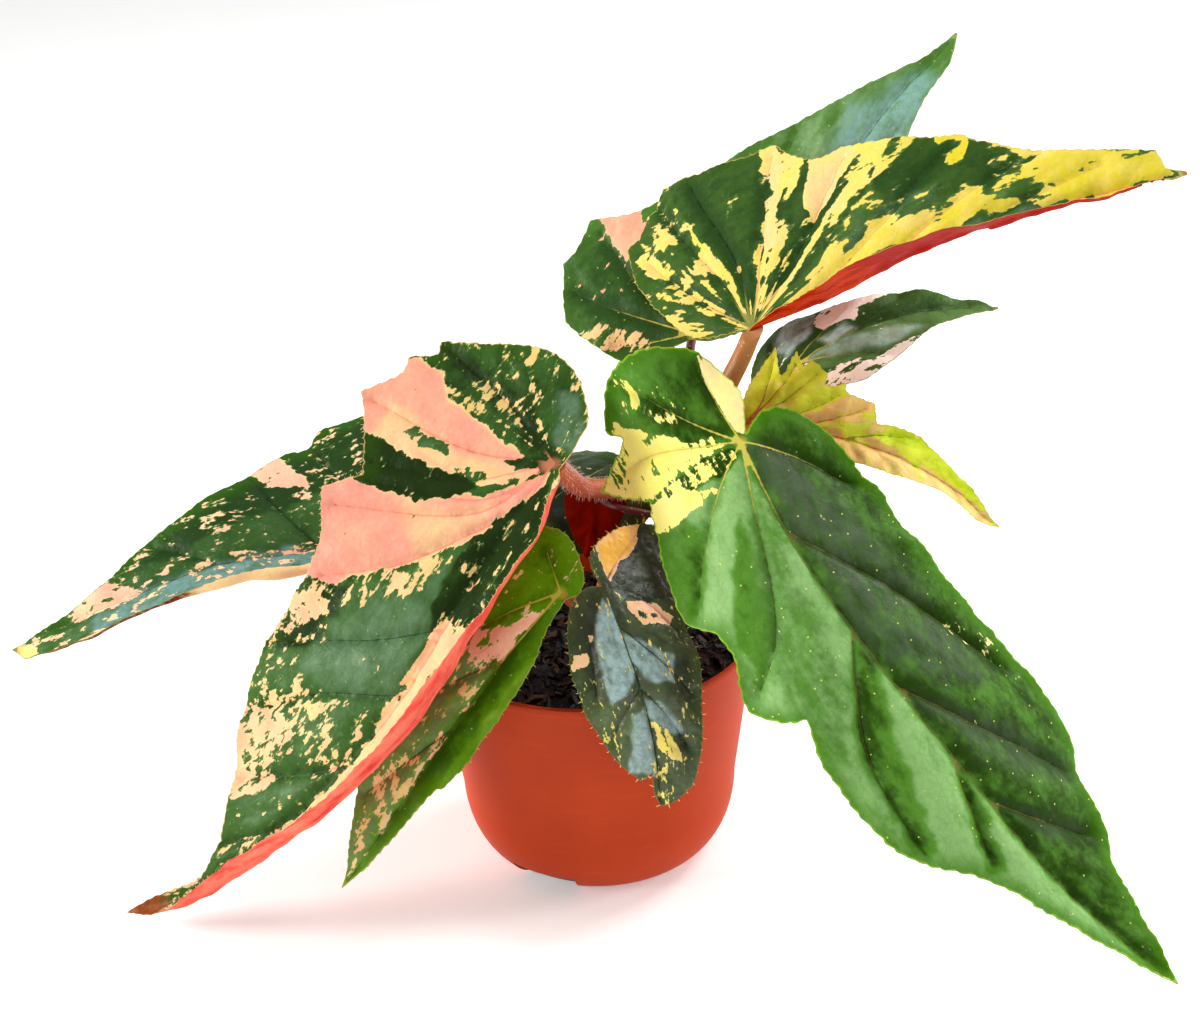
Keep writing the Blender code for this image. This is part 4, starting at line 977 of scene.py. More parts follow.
def twigs_of(veins, loop, spacing, length):
    """The small veins: they leave the main ones by turns at an angle, and end at the margin."""
    chance = random.Random(SEED)
    lines = []
    main = [spaced(vein, 1.0)[0] for vein in veins]
    for k, line in enumerate(main):
        others = Near(np.vstack([other for j, other in enumerate(main) if j != k] or [[(1e6, 1e6)]]))
        at, side = 6.0 + chance.uniform(0, 3), 1
        while at < len(line) - 4:
            route = twig_from(line, int(at), side, length, chance, others)
            kept = inside(route, loop)
            if kept.all() or kept[:3].all():
                route = route[: len(route) if kept.all() else int(np.argmin(kept))]
                if len(route) > 2:
                    lines.append(route)
            side = -side
            at += spacing * chance.uniform(0.35, 0.65)
    return lines


def flat_mesh(blade, look, surface):
    """The flat blade as points and triangles, with edges along its veins, and the lines of its veins."""
    step = look.step * COARSE
    loop, out = margin_of(blade, look, 0.6 * step)
    loop[:, 0] = np.minimum(loop[:, 0], surface.length)
    veins = [np.array([(0, 0), (MIDRIB_REACH * surface.length, 0)], float)]
    veins += [smooth(vein, 8) for vein in blade.veins]
    points, edges = list(loop), [(i, (i + 1) % len(loop)) for i in range(len(loop))]
    rim = Near(loop)
    taken = [loop]
    for line in veins:
        route, _ = spaced(line, step)
        route = route[inside(route, loop)]
        if len(route):
            route = route[rim.find(route)[0] > 0.5 * step]
        if len(taken) > 1 and len(route):
            route = route[Near(np.vstack(taken[1:])).find(route)[0] > 0.45 * step]
        if not len(route):
            continue
        first = len(points)
        points.extend(route)
        close = np.linalg.norm(np.diff(route, axis=0), axis=1) < 2.5 * step
        edges.extend((first + i, first + i + 1) for i in range(len(route) - 1) if close[i])
        taken.append(route)
    low, high = loop.min(axis=0), loop.max(axis=0)
    grid = np.array([(x, y) for row, y in enumerate(np.arange(low[1], high[1], step * math.sqrt(3) / 2))
                     for x in np.arange(low[0] + (row % 2) * step / 2, high[0], step)])
    grid = grid[inside(grid, loop)]
    points.extend(grid[Near(np.vstack(taken)).find(grid)[0] > 0.62 * step])
    found = delaunay_2d_cdt([Vector(p) for p in points], edges, [list(range(len(loop)))], 1, 1e-4)
    return np.array([tuple(p) for p in found[0]]), np.array([tuple(f) for f in found[2]]), loop, out, veins


def cell_edges(points, size):
    """How far points are from the edges of a net of uneven cells, as a share of a cell."""
    chance = np.random.default_rng(SEED)
    low, high = points.min(axis=0) - 2 * size, points.max(axis=0) + 2 * size
    x, y = np.meshgrid(np.arange(low[0], high[0], size), np.arange(low[1], high[1], size))
    seeds = np.stack([x.ravel(), y.ravel()], -1)
    seeds += chance.uniform(-0.42, 0.42, seeds.shape) * size
    tree = Near(seeds).tree
    pairs = (tree.find_n((px, py, 0.0), 2) for px, py in points)
    return np.array([second[2] - first[2] for first, second in pairs]) / size


def depth_in(points, outline):
    """How far points lie inside an outline, negative outside it."""
    outline = np.array(outline, float)
    near = np.full(len(points), 1e9)
    for a, b in zip(outline, np.roll(outline, -1, axis=0)):
        t = np.clip(((points - a) @ (b - a)) / max((b - a) @ (b - a), 1e-9), 0, 1)
        near = np.minimum(near, np.linalg.norm(points - (a + t[:, None] * (b - a)), axis=1))
    return np.where(inside(points, outline), near, -near)


def paint_of(flat, look):
    """The painted fields at flat points: the share of pale colour, its tint, the darkness (painted shade in
    some zones) and the painted sheen, a painted reflection.
    """
    fields = {"pale": np.full(len(flat), look.pale), "tint": np.full(len(flat), look.tint),
              "dark": np.full(len(flat), 0.3), "painted_sheen": np.zeros(len(flat))}
    moved = flat + 1.6 * np.stack([field_noise(flat, 6, 11), field_noise(flat, 6, 17)], -1)
    for values, softness, outline in look.zones:
        share = np.clip(depth_in(moved, outline) / softness + 0.5, 0, 1)
        share = share * share * (3 - 2 * share)
        for name, value in values.items():
            fields[name] += share * (value - fields[name])
    return fields


def put(mesh, name, *values):
    """Keeps three values for each point of a mesh, for its material to read."""
    block = np.stack(values, -1).astype(np.float32)
    mesh.attributes.new(name, "FLOAT_VECTOR", "POINT").data.foreach_set("vector", block.ravel())


def piece(name, points, faces, material, node, slot, sharp=60):
    """A smooth-shaded piece of the model that rides on the root body and replaces a node, if one is given."""
    mesh = bpy.data.meshes.new(name)
    mesh.from_pydata((np.asarray(points, float) * MM).tolist(), [], faces)
    mesh.update()
    mesh.shade_smooth()
    mesh.set_sharp_from_angle(angle=math.radians(sharp))
    mesh.materials.append(material)
    made = bpy.data.objects.new(name, mesh)
    bpy.context.scene.collection.objects.link(made)
    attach(made, "root")
    if node:
        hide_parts(node)
    return made


def point_normals(points, faces):
    corners = points[faces]
    slopes = np.cross(corners[:, 1] - corners[:, 0], corners[:, 2] - corners[:, 0])
    normals = np.zeros_like(points)
    for k in range(3):
        np.add.at(normals, faces[:, k], slopes)
    return unit(normals)


def spikes(feet, ways, lengths, radius, curve=0.0):
    """The points and faces of thin hairs, each of two rings and a tip."""
    points, faces, n = [], [], HAIR_SIDES
    for foot, way, length in zip(feet, ways, lengths):
        side = unit(np.cross(way, (0.31, 0.52, 0.8)))
        other = np.cross(way, side)
        base = len(points)
        for level, width in ((0.0, 1.0), (0.5, 0.65)):
            middle = foot + way * length * level + other * curve * length * level * level
            for k in range(n):
                turn = 2 * math.pi * k / n
                points.append(middle + radius * width * (math.cos(turn) * side + math.sin(turn) * other))
        points.append(foot + way * length + other * curve * length)
        for k in range(n):
            j = (k + 1) % n
            faces.append((base + k, base + j, base + n + j, base + n + k))
            faces.append((base + n + k, base + n + j, base + 2 * n))
        faces.append(tuple(base + k for k in range(n - 1, -1, -1)))
    return points, faces


def relief_of(blade, look, flat, near, twig, rim):
    """How far the blade rises at flat points: its pleats, creases, puffs and the waves along its margin."""
    start = np.linalg.norm(flat, axis=1)
    seat = np.clip((start - SEAT_RADIUS) / (4 * blade.pleat_width), 0, 1)
    calm = np.clip((start - SEAT_RADIUS / 2) / (2 * SEAT_RADIUS), 0, 1)
    puffs = 1.6 - 1.6 * np.exp(-twig / TWIG_WIDTH) + 2.2 * field_noise(flat, look.cell, SEED)
    relief = -blade.pleat * seat * np.exp(-near / blade.pleat_width)
    relief -= calm * look.crease * np.exp(-near / CREASE_WIDTH)
    relief += look.quilt * calm * puffs
    if look.pebble:
        cells = np.clip(cell_edges(flat, 0.5 * look.cell) * 2.2, 0, 1)
        relief += look.pebble * calm * (cells ** 0.7 - 0.6)
    wave = field_noise(flat, WAVE_LENGTH, SEED + 3) * 2.2
    return relief + look.wave * wave * np.exp(-rim / WAVE_BAND) * calm


def thick_sheet(place, faces, rim):
    """The points and faces of a closed sheet, with the same triangles on both sides."""
    share = np.clip(rim / RIM_TAPER, 0, 1)
    thickness = RIM_THICKNESS + (BLADE_THICKNESS - RIM_THICKNESS) * share
    half = point_normals(place, faces) * thickness[:, None] / 2
    count = len(place)
    made = np.vstack([faces, faces[:, ::-1] + count]).tolist()
    ends = {pair for a, b, c in faces.tolist() for pair in ((a, b), (b, c), (c, a))}
    for a, b in sorted(ends):
        if (b, a) not in ends:
            made += [(b, a, a + count), (b, a + count, b + count)]
    return np.vstack([place + half, place - half]), made


def bristles_of(look, surface, loop, out):
    """The points and faces of the bristles along a margin, and the flat place of each of those points."""
    spacing, length = look.bristle
    if not length:
        return np.zeros((0, 3)), [], np.zeros((0, 2))
    chance = random.Random(SEED)
    every = max(1, round(spacing / (0.6 * look.step * COARSE)))
    picks = [i for i in range(0, len(loop), every) if np.linalg.norm(loop[i]) > 8]
    roots = loop[picks]
    feet, _ = surface.place(roots[:, 0], roots[:, 1])
    tips = roots + out[picks]
    way = unit(surface.place(tips[:, 0], tips[:, 1])[0] - feet)
    way = unit(way + [[chance.uniform(-0.4, 0.4) for _ in range(3)] for _ in picks])
    lengths = [length * chance.uniform(0.5, 1.2) for _ in picks]
    points, faces = spikes(feet, way, lengths, HAIR_RADIUS * length + 0.04)
    return np.array(points), faces, np.repeat(roots, len(points) // len(picks), axis=0)


def make_blade(blade, look):
    """One blade with its relief, its bristles and the values that its material reads."""
    surface = Surface(blade)
    flat, faces, loop, out, veins = flat_mesh(blade, look, surface)
    lines = [spaced(vein, 0.4) for vein in veins]
    near, which = Near(np.vstack([line for line, _ in lines])).find(flat)
    shares = [at / at[-1] * (1.0 if k else 0.8) for k, (_, at) in enumerate(lines)]
    reach = np.concatenate(shares)[which]
    twigs = twigs_of(veins, loop, TWIG_SPACING * look.cell, TWIG_LENGTH * look.cell)
    twig = Near(np.vstack([spaced(line, 0.4)[0] for line in twigs])).find(flat)[0] if twigs else near
    rim = Near(spaced(np.vstack([loop, loop[:1]]), 0.3)[0]).find(flat)[0]
    place, facing = surface.place(flat[:, 0], flat[:, 1])
    place = place + relief_of(blade, look, flat, near, twig, rim)[:, None] * facing
    points, sides = thick_sheet(place, faces, rim)
    more, spokes, hairs = bristles_of(look, surface, loop, out)
    sides += [tuple(k + len(points) for k in spoke) for spoke in spokes]
    material = LeafShade(blade.name, look).whole()
    made = piece(blade.name + "_fine", np.vstack([points, more]), sides, material, blade.name, look.slot, 75)

    def both(values, bristle=0.0):
        """The values of the upper side, the same ones for the underside, and one for all bristles."""
        return np.concatenate([values, values, np.full(len(hairs), bristle)])

    where = np.vstack([flat, flat, hairs])
    put(made.data, "flat", where[:, 0], where[:, 1], np.zeros(len(where)))
    around = RAY_RADIUS * np.arctan2(flat[:, 1], flat[:, 0] + 1e-6)
    put(made.data, "rays", both(around), both(np.linalg.norm(flat, axis=1), 50.0), both(0 * rim))
    paint = paint_of(flat, look)
    put(made.data, "paint", both(paint["pale"], 3.0), both(paint["tint"], 0.15), both(paint["dark"]))
    put(made.data, "lines", both(near, NO_VEIN), both(reach), both(twig, NO_VEIN))
    upper = np.concatenate([np.ones(len(flat)), np.zeros(len(flat)), np.ones(len(hairs))])
    put(made.data, "place", both(rim, NO_VEIN), upper, both(paint["painted_sheen"]))


class Shade:
    """Builds a node material one step at a time. A step takes sockets or plain values and gives a socket."""

    def __init__(self, name):
        self.material = bpy.data.materials.new(name)
        self.material.use_nodes = True
        self.tree = self.material.node_tree
        self.surface = self.tree.nodes["Principled BSDF"]

    def node(self, kind, inputs, **settings):
        made = self.tree.nodes.new(kind)
        for key, value in settings.items():
            setattr(made, key, value)
        for key, value in inputs.items():
            if isinstance(value, bpy.types.NodeSocket):
                self.tree.links.new(value, made.inputs[key])
            else:
                made.inputs[key].default_value = value
        return made

    def vector(self, name):
        return self.node("ShaderNodeAttribute", {}, attribute_name=name).outputs["Vector"]

    def parts(self, vector):
        return self.node("ShaderNodeSeparateXYZ", {0: vector}).outputs

    def where(self):
        """The place on the object, in metres."""
        return self.node("ShaderNodeTexCoord", {}).outputs["Object"]

    def math(self, operation, *values):
        return self.node("ShaderNodeMath", dict(enumerate(values)), operation=operation).outputs[0]

    def add(self, *values):
        total = values[0]
        for value in values[1:]:
            total = self.math("ADD", total, value)
        return total

    def times(self, a, b):
        return self.math("MULTIPLY", a, b)

    def swing(self, value, size):
        """A value from 0 to 1, made to swing about zero by a size."""
        return self.times(self.add(value, -0.5), size)

    def span(self, value, low, high, start=0.0, end=1.0):
        """A value from low to high turned smoothly into one from start to end."""
        inputs = {0: value, 1: low, 2: high, 3: start, 4: end}
        return self.node("ShaderNodeMapRange", inputs, interpolation_type="SMOOTHSTEP").outputs[0]

    def mix(self, share, a, b):
        inputs = {0: share, 6: a if isinstance(a, bpy.types.NodeSocket) else (*a, 1.0),
                  7: b if isinstance(b, bpy.types.NodeSocket) else (*b, 1.0)}
        return self.node("ShaderNodeMix", inputs, data_type="RGBA").outputs[2]

    def ramp(self, value, colours):
        ramp = self.node("ShaderNodeValToRGB", {0: value})
        stops = ramp.color_ramp.elements
        while len(stops) < len(colours):
            stops.new(0.5)
        for i, colour in enumerate(colours):
            stops[i].position = i / (len(colours) - 1)
            stops[i].color = (*colour, 1.0)
        return ramp.outputs[0]

    def scaled(self, vector, size, shift=0.0):
        """A vector measured in steps of a size, or of one for each axis, and moved along."""
        sizes = size if isinstance(size, tuple) else (size, size, size)
        steps = self.node("ShaderNodeVectorMath", {0: vector, 1: tuple(1 / each for each in sizes)},
                          operation="MULTIPLY")
        return self.node("ShaderNodeVectorMath", {0: steps.outputs[0], 1: (shift, 2 * shift, shift / 2)},
                         operation="ADD").outputs[0]

    def noise(self, vector, size, detail=2.0, rough=0.5, shift=0.0):
        inputs = {"Vector": self.scaled(vector, size, shift), "Scale": 1.0, "Detail": detail,
                  "Roughness": rough}
        return self.node("ShaderNodeTexNoise", inputs).outputs["Fac"]

    def swayed(self, vector, size):
        """A vector moved about by a noise, so that a pattern on it isn't regular."""
        inputs = {"Vector": self.scaled(vector, SWAY_SIZE), "Scale": 1.0, "Detail": 2.0}
        sway = self.node("ShaderNodeTexNoise", inputs).outputs["Color"]
        return self.node("ShaderNodeVectorMath", {0: sway, 1: (size, size, 0.0), 2: vector},
                         operation="MULTIPLY_ADD").outputs[0]

    def cells(self, vector, size, feature="F1", shift=0.0):
        inputs = {"Vector": self.scaled(vector, size, shift), "Scale": 1.0}
        return self.node("ShaderNodeTexVoronoi", inputs, feature=feature)

    def bump(self, height, depth, below=None):
        """A bump of a depth in millimetres for a height from 0 to 1."""
        inputs = {"Height": height, "Distance": depth * MM, "Strength": 1.0}
        if below:
            inputs["Normal"] = below
        return self.node("ShaderNodeBump", inputs).outputs[0]

    def finish(self, colour, roughness, normal=None, **inputs):
        inputs.update({"Base Color": colour, "Roughness": roughness, "Normal": normal})
        for name, value in inputs.items():
            socket = self.surface.inputs[name]
            if isinstance(value, bpy.types.NodeSocket):
                self.tree.links.new(value, socket)
            elif value is not None:
                socket.default_value = (*value, 1.0) if isinstance(value, tuple) else value
        return self.material


class LeafShade(Shade):
    """The material of a blade: green with its zones, flecks, dots and veins, and another underside."""

    def __init__(self, name, look):
        super().__init__(name)
        self.look = look
        self.flat, self.rays = self.vector("flat"), self.vector("rays")
        self.pale, self.tint, self.dark = self.parts(self.vector("paint"))
        self.near, self.reach, self.twig = self.parts(self.vector("lines"))
        self.rim, self.upper, self.painted_sheen = self.parts(self.vector("place"))
        self.cloud = self.noise(self.flat, *CLOUD)
        self.mottle = self.noise(self.flat, *MOTTLE)
        self.fleck = self.noise(self.swayed(self.flat, 1.4), (FLECK_LENGTH * look.grain, look.grain, 1.0),
                                *FLECK)
        self.net = self.cells(self.swayed(self.flat, 1.6), NET_SIZE, "DISTANCE_TO_EDGE").outputs["Distance"]
        self.lace = self.times(self.span(self.net, 0.0, 0.12, 1.0, 0.0), 0.1)
        self.spots = self.cells(self.flat, SPOT_SIZE, shift=2.0)

    def green(self):
        """The greens, with painted shade along the veins, the margin's own green, the painted sheen, the lace
        of pores and the dots.
        """
        look = self.look
        swayed = self.swayed(self.flat, 2.4)
        patch = self.noise(swayed, *PATCH)
        # painted shade: the green is darker in the valleys along the veins
        shade = self.add(self.dark, self.span(self.near, 0.0, VALLEY_SHADE_WIDTH, look.painted_valley_shade, 0.0),
                         self.swing(self.cloud, 0.6), self.swing(patch, 0.9), self.swing(self.mottle, 0.5))
        green = self.mix(self.span(shade, -0.35, 0.35), look.greens[2], look.greens[1])
        green = self.mix(self.span(shade, 0.35, 1.0), green, look.greens[0])
        edge = self.span(self.add(self.rim, self.times(patch, -5.0)), -2.5, 5.5, look.edge_share, 0.0)
        green = self.mix(edge, green, look.edge)
        # painted sheen: a mottled bluish-grey reflection painted into the green where the zones give it
        gleam = self.add(self.noise(swayed, *GLEAM), self.times(self.painted_sheen, 0.2))
        glow = self.times(self.painted_sheen, self.span(gleam, 0.42, 0.78, 0.3, 1.0))
        glow = self.times(glow, self.span(self.mottle, 0.35, 0.6, 0.7, 1.0))
        green = self.mix(self.lace, self.mix(glow, green, look.painted_sheen), look.greens[0])
        chosen = self.span(self.parts(self.spots.outputs["Color"])[0], 0.4, 0.44)
        dot = self.times(self.span(self.spots.outputs["Distance"], 0.06, 0.12, 1.0, 0.0), chosen)
        return self.mix(self.times(dot, look.dots), green, look.dot)

    def cream(self):
        """The colour of the pale flecks, from yellow to pink."""
        warmth = self.add(self.tint, self.swing(self.cloud, 0.7), self.swing(self.fleck, 0.3))
        cream = self.ramp(warmth, self.look.pales)
        cream = self.mix(self.span(self.mottle, 0.35, 0.7, 0.0, 0.07), cream, PALEST)
        return self.mix(self.lace, cream, self.look.blush)

    def upper_side(self):
        """The green and the flecks, each with its veins, and the main veins and the rim over both."""
        look = self.look
        ray = self.noise(self.rays, *RAYS)
        amount = self.add(self.pale, self.swing(self.fleck, 2.1 * look.ragged), self.swing(self.mottle, 0.2),
                          self.swing(ray, 2.2 * look.streak))
        green = self.mix(self.span(amount, 0.38, 0.48, 0.0, look.fringe), self.green(), look.halo)
        thin = self.math("DIVIDE", self.near, self.span(self.reach, 0.0, 1.0, 1.0, 0.35))
        line = self.span(thin, 0.3 * look.vein_width, 1.2 * look.vein_width, 1.0, 0.0)
        green = self.mix(self.times(line, 0.7), green, look.vein_far)
        green = self.mix(self.span(self.twig, 0.1, 0.4, 0.25, 0.0), green, look.vein_far)
        cream = self.mix(self.times(self.span(thin, 0.1, 0.9, 1.0, 0.0), 0.6), self.cream(), look.blush)
        cream = self.mix(self.span(self.twig, 0.1, 0.4, 0.2, 0.0), cream, look.blush)
        colour = self.mix(self.span(amount, 0.48, 0.52), green, cream)
        far = self.parts(self.rays)[1]
        bright = self.span(far, 0.35 * look.vein_reach, look.vein_reach, 0.9, 0.0)
        colour = self.mix(self.times(line, bright), colour, look.vein)
        colour = self.mix(self.span(far, 1.0, 3.2, 0.5, 0.0), colour, look.vein)
        hem = self.add(self.rim, self.swing(self.mottle, 1.2))
        return self.mix(self.span(hem, 0.2 * look.rim_width, look.rim_width, 0.8, 0.0), colour, look.rim)

    def underside(self, along):
        """The two colours of the underside, with its veins in the first of them."""
        look = self.look
        turn = self.span(along, look.under_turn[0], look.under_turn[1])
        grey = self.noise(self.flat, *UNDER_GREY)
        lift = self.add(grey, look.under_light, self.times(turn, -0.35 - look.under_light))
        back = self.mix(self.span(lift, 0.34, 0.72), look.under[0], look.under[1])
        back = self.mix(self.times(self.span(self.mottle, 0.45, 0.7), 0.3), back, look.under[1])
        back = self.mix(self.span(self.near, 0.3, 1.4, 0.6, 0.0), back, look.under[0])
        return self.mix(self.span(self.twig, 0.1, 0.5, 0.35, 0.0), back, look.under[0])

    def whole(self):
        """The finished material, with its dry brown tip and fine bumps."""
        look, along = self.look, self.parts(self.flat)[0]
        colour = self.mix(self.span(self.upper, 0.35, 0.65), self.underside(along), self.upper_side())
        dry = self.add(along, self.swing(self.mottle, 10.0))
        dry = self.span(dry, look.brown_from, look.brown_from + 7.0)
        colour = self.mix(dry, colour, self.mix(self.mottle, *DRY_BROWNS))
        normal = self.bump(self.span(self.net, 0.0, 0.3), 0.05)
        normal = self.bump(self.noise(self.flat, *PORES), 0.22, normal)
        normal = self.bump(self.span(self.spots.outputs["Distance"], 0.0, 0.3, 1.0, 0.0), 0.08, normal)
        gloss = self.add(look.roughness, self.swing(self.mottle, 0.25), self.times(self.painted_sheen, -0.08))
        specular = self.span(self.upper, 0.35, 0.65, 0.02, look.shine)
        return self.finish(colour, gloss, normal, **{"Specular IOR Level": specular})


@dataclass
class Stem:
    """A cane or a petiole: its route in space and its radius at the foot and at the head. It ends against
    the underside of the blade that it carries."""

    route: list
    radii: tuple
    blade: str
    hue: float = 0.0  # its colour, from orange brown at 0 to pink at 0.5 and dark red at 1
    hair: float = 0.0  # hairs for each millimetre


CANE_TALL = Stem(
    [(12, 6, STEM_HOLE_FLOOR), (14, 6, 84), (20, 6, 104), (30, 5, 130), (40, 5, 152), (50, 6, 176),
     (57, 7, 190)],
    (5.5, 3.2), "blade_top",
)
CANE_SHORT = Stem(
    [(0, -14, STEM_HOLE_FLOOR), (0, -15, 84), (0, -20, 100), (1, -29, 113), (3, -36, 120)],
    (4.8, 2.2), "blade_front_centre", 0.35,
)

# Petioles run from inside their cane to the blade they carry
TALL_PETIOLES = [
    Stem([(36, 5, 143), (45, -6, 153), (52, -17, 163)], (3.6, 2.8), "blade_large_right", 0.1),
    Stem([(33, 5, 137), (16, 2, 143), (0, -6, 148), (-6, -16, 158)], (3.8, 3.4), "blade_large_left", 0.45,
         9.0),
    Stem([(24, 6, 114), (33, 25, 141), (40, 48, 165), (41, 56, 172)], (2.4, 1.7), "blade_top_back", 1.0),
    Stem([(39, 5, 150), (58, 28, 149), (74, 46, 155)], (2.2, 1.6), "blade_dark_back", 0.7),
    Stem([(44, 5, 161), (52, 8, 160)], (2.0, 1.5), "blade_young_lime", 0.2),
    Stem([(29, 5, 128), (26, -7, 136), (12, -5, 139), (6, 3, 138)], (1.5, 1.0), "blade_red_underside", 1.0),
    Stem([(29, 5, 127), (26, 12, 132)], (1.5, 1.0), "blade_small_grey", 0.4),
    Stem([(15, 6, 90), (13, 16, 108), (5, 30, 122)], (2.2, 1.6), "blade_back", 0.7),
]
SHORT_PETIOLES = [
    Stem([(0, -26, 108), (-5, -33, 116)], (2.6, 2.0), "blade_front_left", 0.4),
    Stem([(0, -17, 93), (-10, 0, 114), (-28, 14, 134)], (2.8, 2.2), "blade_far_left", 0.6),
]


def bands(rows, n, base=0):
    """The faces between rows of n points each, closed all round."""
    return [(base + row * n + k, base + row * n + (k + 1) % n,
             base + (row + 1) * n + (k + 1) % n, base + (row + 1) * n + k)
            for row in range(rows - 1) for k in range(n)]


def tube(stem, rings_at):
    """The points, faces and colour values of a round stem along its route, and its centre line."""
    surface = Surface(next(b for b in BLADES if b.name == stem.blade))
    place, _, up = surface.midrib(np.array([0.0]))
    head = up[0]
    route = [*stem.route, tuple(place[0] - HEAD_SINK * head)]
    line, at = spaced(smooth(route, 12), STEM_STEP * COARSE)
    ahead = unit(np.gradient(line, axis=0))
    for i in range(1, 4):
        blend = (4 - i) / 3
        ahead[-i] = unit((1 - blend) * ahead[-i] + blend * head)
    cross = np.cross(ahead[0], (0.0, 1.0, 0.0))
    points, values = [], []
    for i, (place, way) in enumerate(zip(line, ahead)):
        cross = unit(cross - (cross @ way) * way)
        other = np.cross(way, cross)
        share = i / (len(line) - 1)
        radius = stem.radii[0] + (stem.radii[1] - stem.radii[0]) * share
        radius += NODE_SWELL * sum(math.exp(-(((place[2] - z) / NODE_LENGTH) ** 2)) for z in rings_at)
        radius += HEAD_SWELL * math.exp(-(at[-1] - at[i]) / HEAD_LENGTH)
        for k in range(STEM_SIDES):
            turn = 2 * math.pi * k / STEM_SIDES
            where = Vector((math.cos(turn), math.sin(turn), at[i] / LUMP_LENGTH))
            lump = 1 + STEM_LUMPS * noise.noise(where)
            points.append(place + radius * lump * (math.cos(turn) * cross + math.sin(turn) * other))
            values.append((turn * radius, at[i], stem.hue))
    n, count = STEM_SIDES, len(points)
    faces = [tuple(range(n - 1, -1, -1)), tuple(range(count - n, count)), *bands(len(line), n)]
    return points, faces, values, line


def stem_material():
    """The skin of the stems: its colour by the hue, clouded, with olive streaks and pale spots."""
    s = Shade("stem skin")
    skin = s.vector("skin")
    hue = s.parts(skin)[2]
    colour = s.ramp(s.add(hue, s.swing(s.noise(skin, (4.0, 14.0, 50.0), 3), 0.35)), STEM_TONES)
    streak = s.span(s.noise(skin, (6.0, 30.0, 50.0), 2, shift=5), 0.5, 0.75, 0.0, 0.5)
    colour = s.mix(streak, colour, STEM_STREAK)
    spots = s.cells(skin, 2.4, shift=1.0)
    chosen = s.span(s.parts(spots.outputs["Color"])[1], 0.5, 0.55)
    dot = s.times(s.span(spots.outputs["Distance"], 0.08, 0.2, 0.75, 0.0), chosen)
    colour = s.mix(dot, colour, STEM_SPOT)
    return s.finish(colour, 0.42, s.bump(s.noise(skin, (0.6, 5.0, 50.0), 3), 0.15))


def hair_material():
    s = Shade("hairs")
    return s.finish(s.mix(s.noise(s.where(), 0.004), *HAIR_TONES), 0.5)


def make_cane(name, slot, cane, petioles, rings_at):
    """A cane and its petioles as one finer piece, and the hairs on them."""
    points, faces, values = [], [], []
    chance = random.Random(SEED)
    feet, ways, lengths = [], [], []
    for stem in (cane, *petioles):
        more, sides, skin, line = tube(stem, rings_at if stem is cane else ())
        faces += [tuple(k + len(points) for k in side) for side in sides]
        points += more
        values += skin
        for _ in range(int(stem.hair * len(line) * STEM_STEP)):
            i = chance.randrange(4, len(line) - 1)
            turn = chance.uniform(0, 2 * math.pi)
            foot = more[i * STEM_SIDES + int(turn / (2 * math.pi) * STEM_SIDES)]
            out = unit(foot - line[i])
            feet.append(foot - HAIR_SINK * out)
            ways.append(unit(out + 0.5 * np.array([chance.uniform(-1, 1) for _ in range(3)])))
            lengths.append(chance.uniform(*HAIR_LENGTHS))
    made = piece(name + "_fine", points, faces, STEM_SKIN, name, slot, 50)
    put(made.data, "skin", *np.array(values).T)
    if feet:
        piece(name + "_hairs", *spikes(feet, ways, lengths, HAIR_RADIUS, HAIR_CURVE), HAIRS, None, slot)


def pot_radius(height):
    """The outer radius of the pot at a height, round below its shoulder and straight above it."""
    if height < SHOULDER_HEIGHT:
        rise = 1 - height / SHOULDER_HEIGHT
        return FOOT_RADIUS + (SHOULDER_RADIUS - FOOT_RADIUS) * math.sqrt(1 - rise * rise)
    up = (height - SHOULDER_HEIGHT) / (POT_HEIGHT - SHOULDER_HEIGHT)
    return SHOULDER_RADIUS + up * (RIM_RADIUS - SHOULDER_RADIUS)


def compost_level(x, y):
    """The height of the rough compost at a place."""
    return COMPOST_HEIGHT + sum(size * noise.noise(Vector((x / length, y / length, 10 * k)))
                                for k, (length, size) in enumerate(COMPOST_WAVES))


def compost_body(top):
    """The points and faces of the body that fills the pot, rough above."""
    n = COMPOST_SEGMENTS
    turns = [2 * math.pi * i / n for i in range(n)]
    points = []
    for height in (POT_WALL + 1, 6, 12, 20, SHOULDER_HEIGHT, 50, COMPOST_HEIGHT - 5):
        radius = pot_radius(height) - POT_WALL - COMPOST_GAP
        points += [(radius * math.cos(a), radius * math.sin(a), height) for a in turns]
    for i in range(COMPOST_RINGS):
        radius = top * (1 - i / COMPOST_RINGS)
        places = [(radius * math.cos(a), radius * math.sin(a)) for a in turns]
        points += [(x, y, compost_level(x, y)) for x, y in places]
    rows, middle = len(points) // n, len(points)
    faces = [tuple(range(n - 1, -1, -1)), *bands(rows, n)]
    faces += [(middle - n + i, middle - n + (i + 1) % n, middle) for i in range(n)]
    return [*points, (0, 0, compost_level(0, 0))], faces


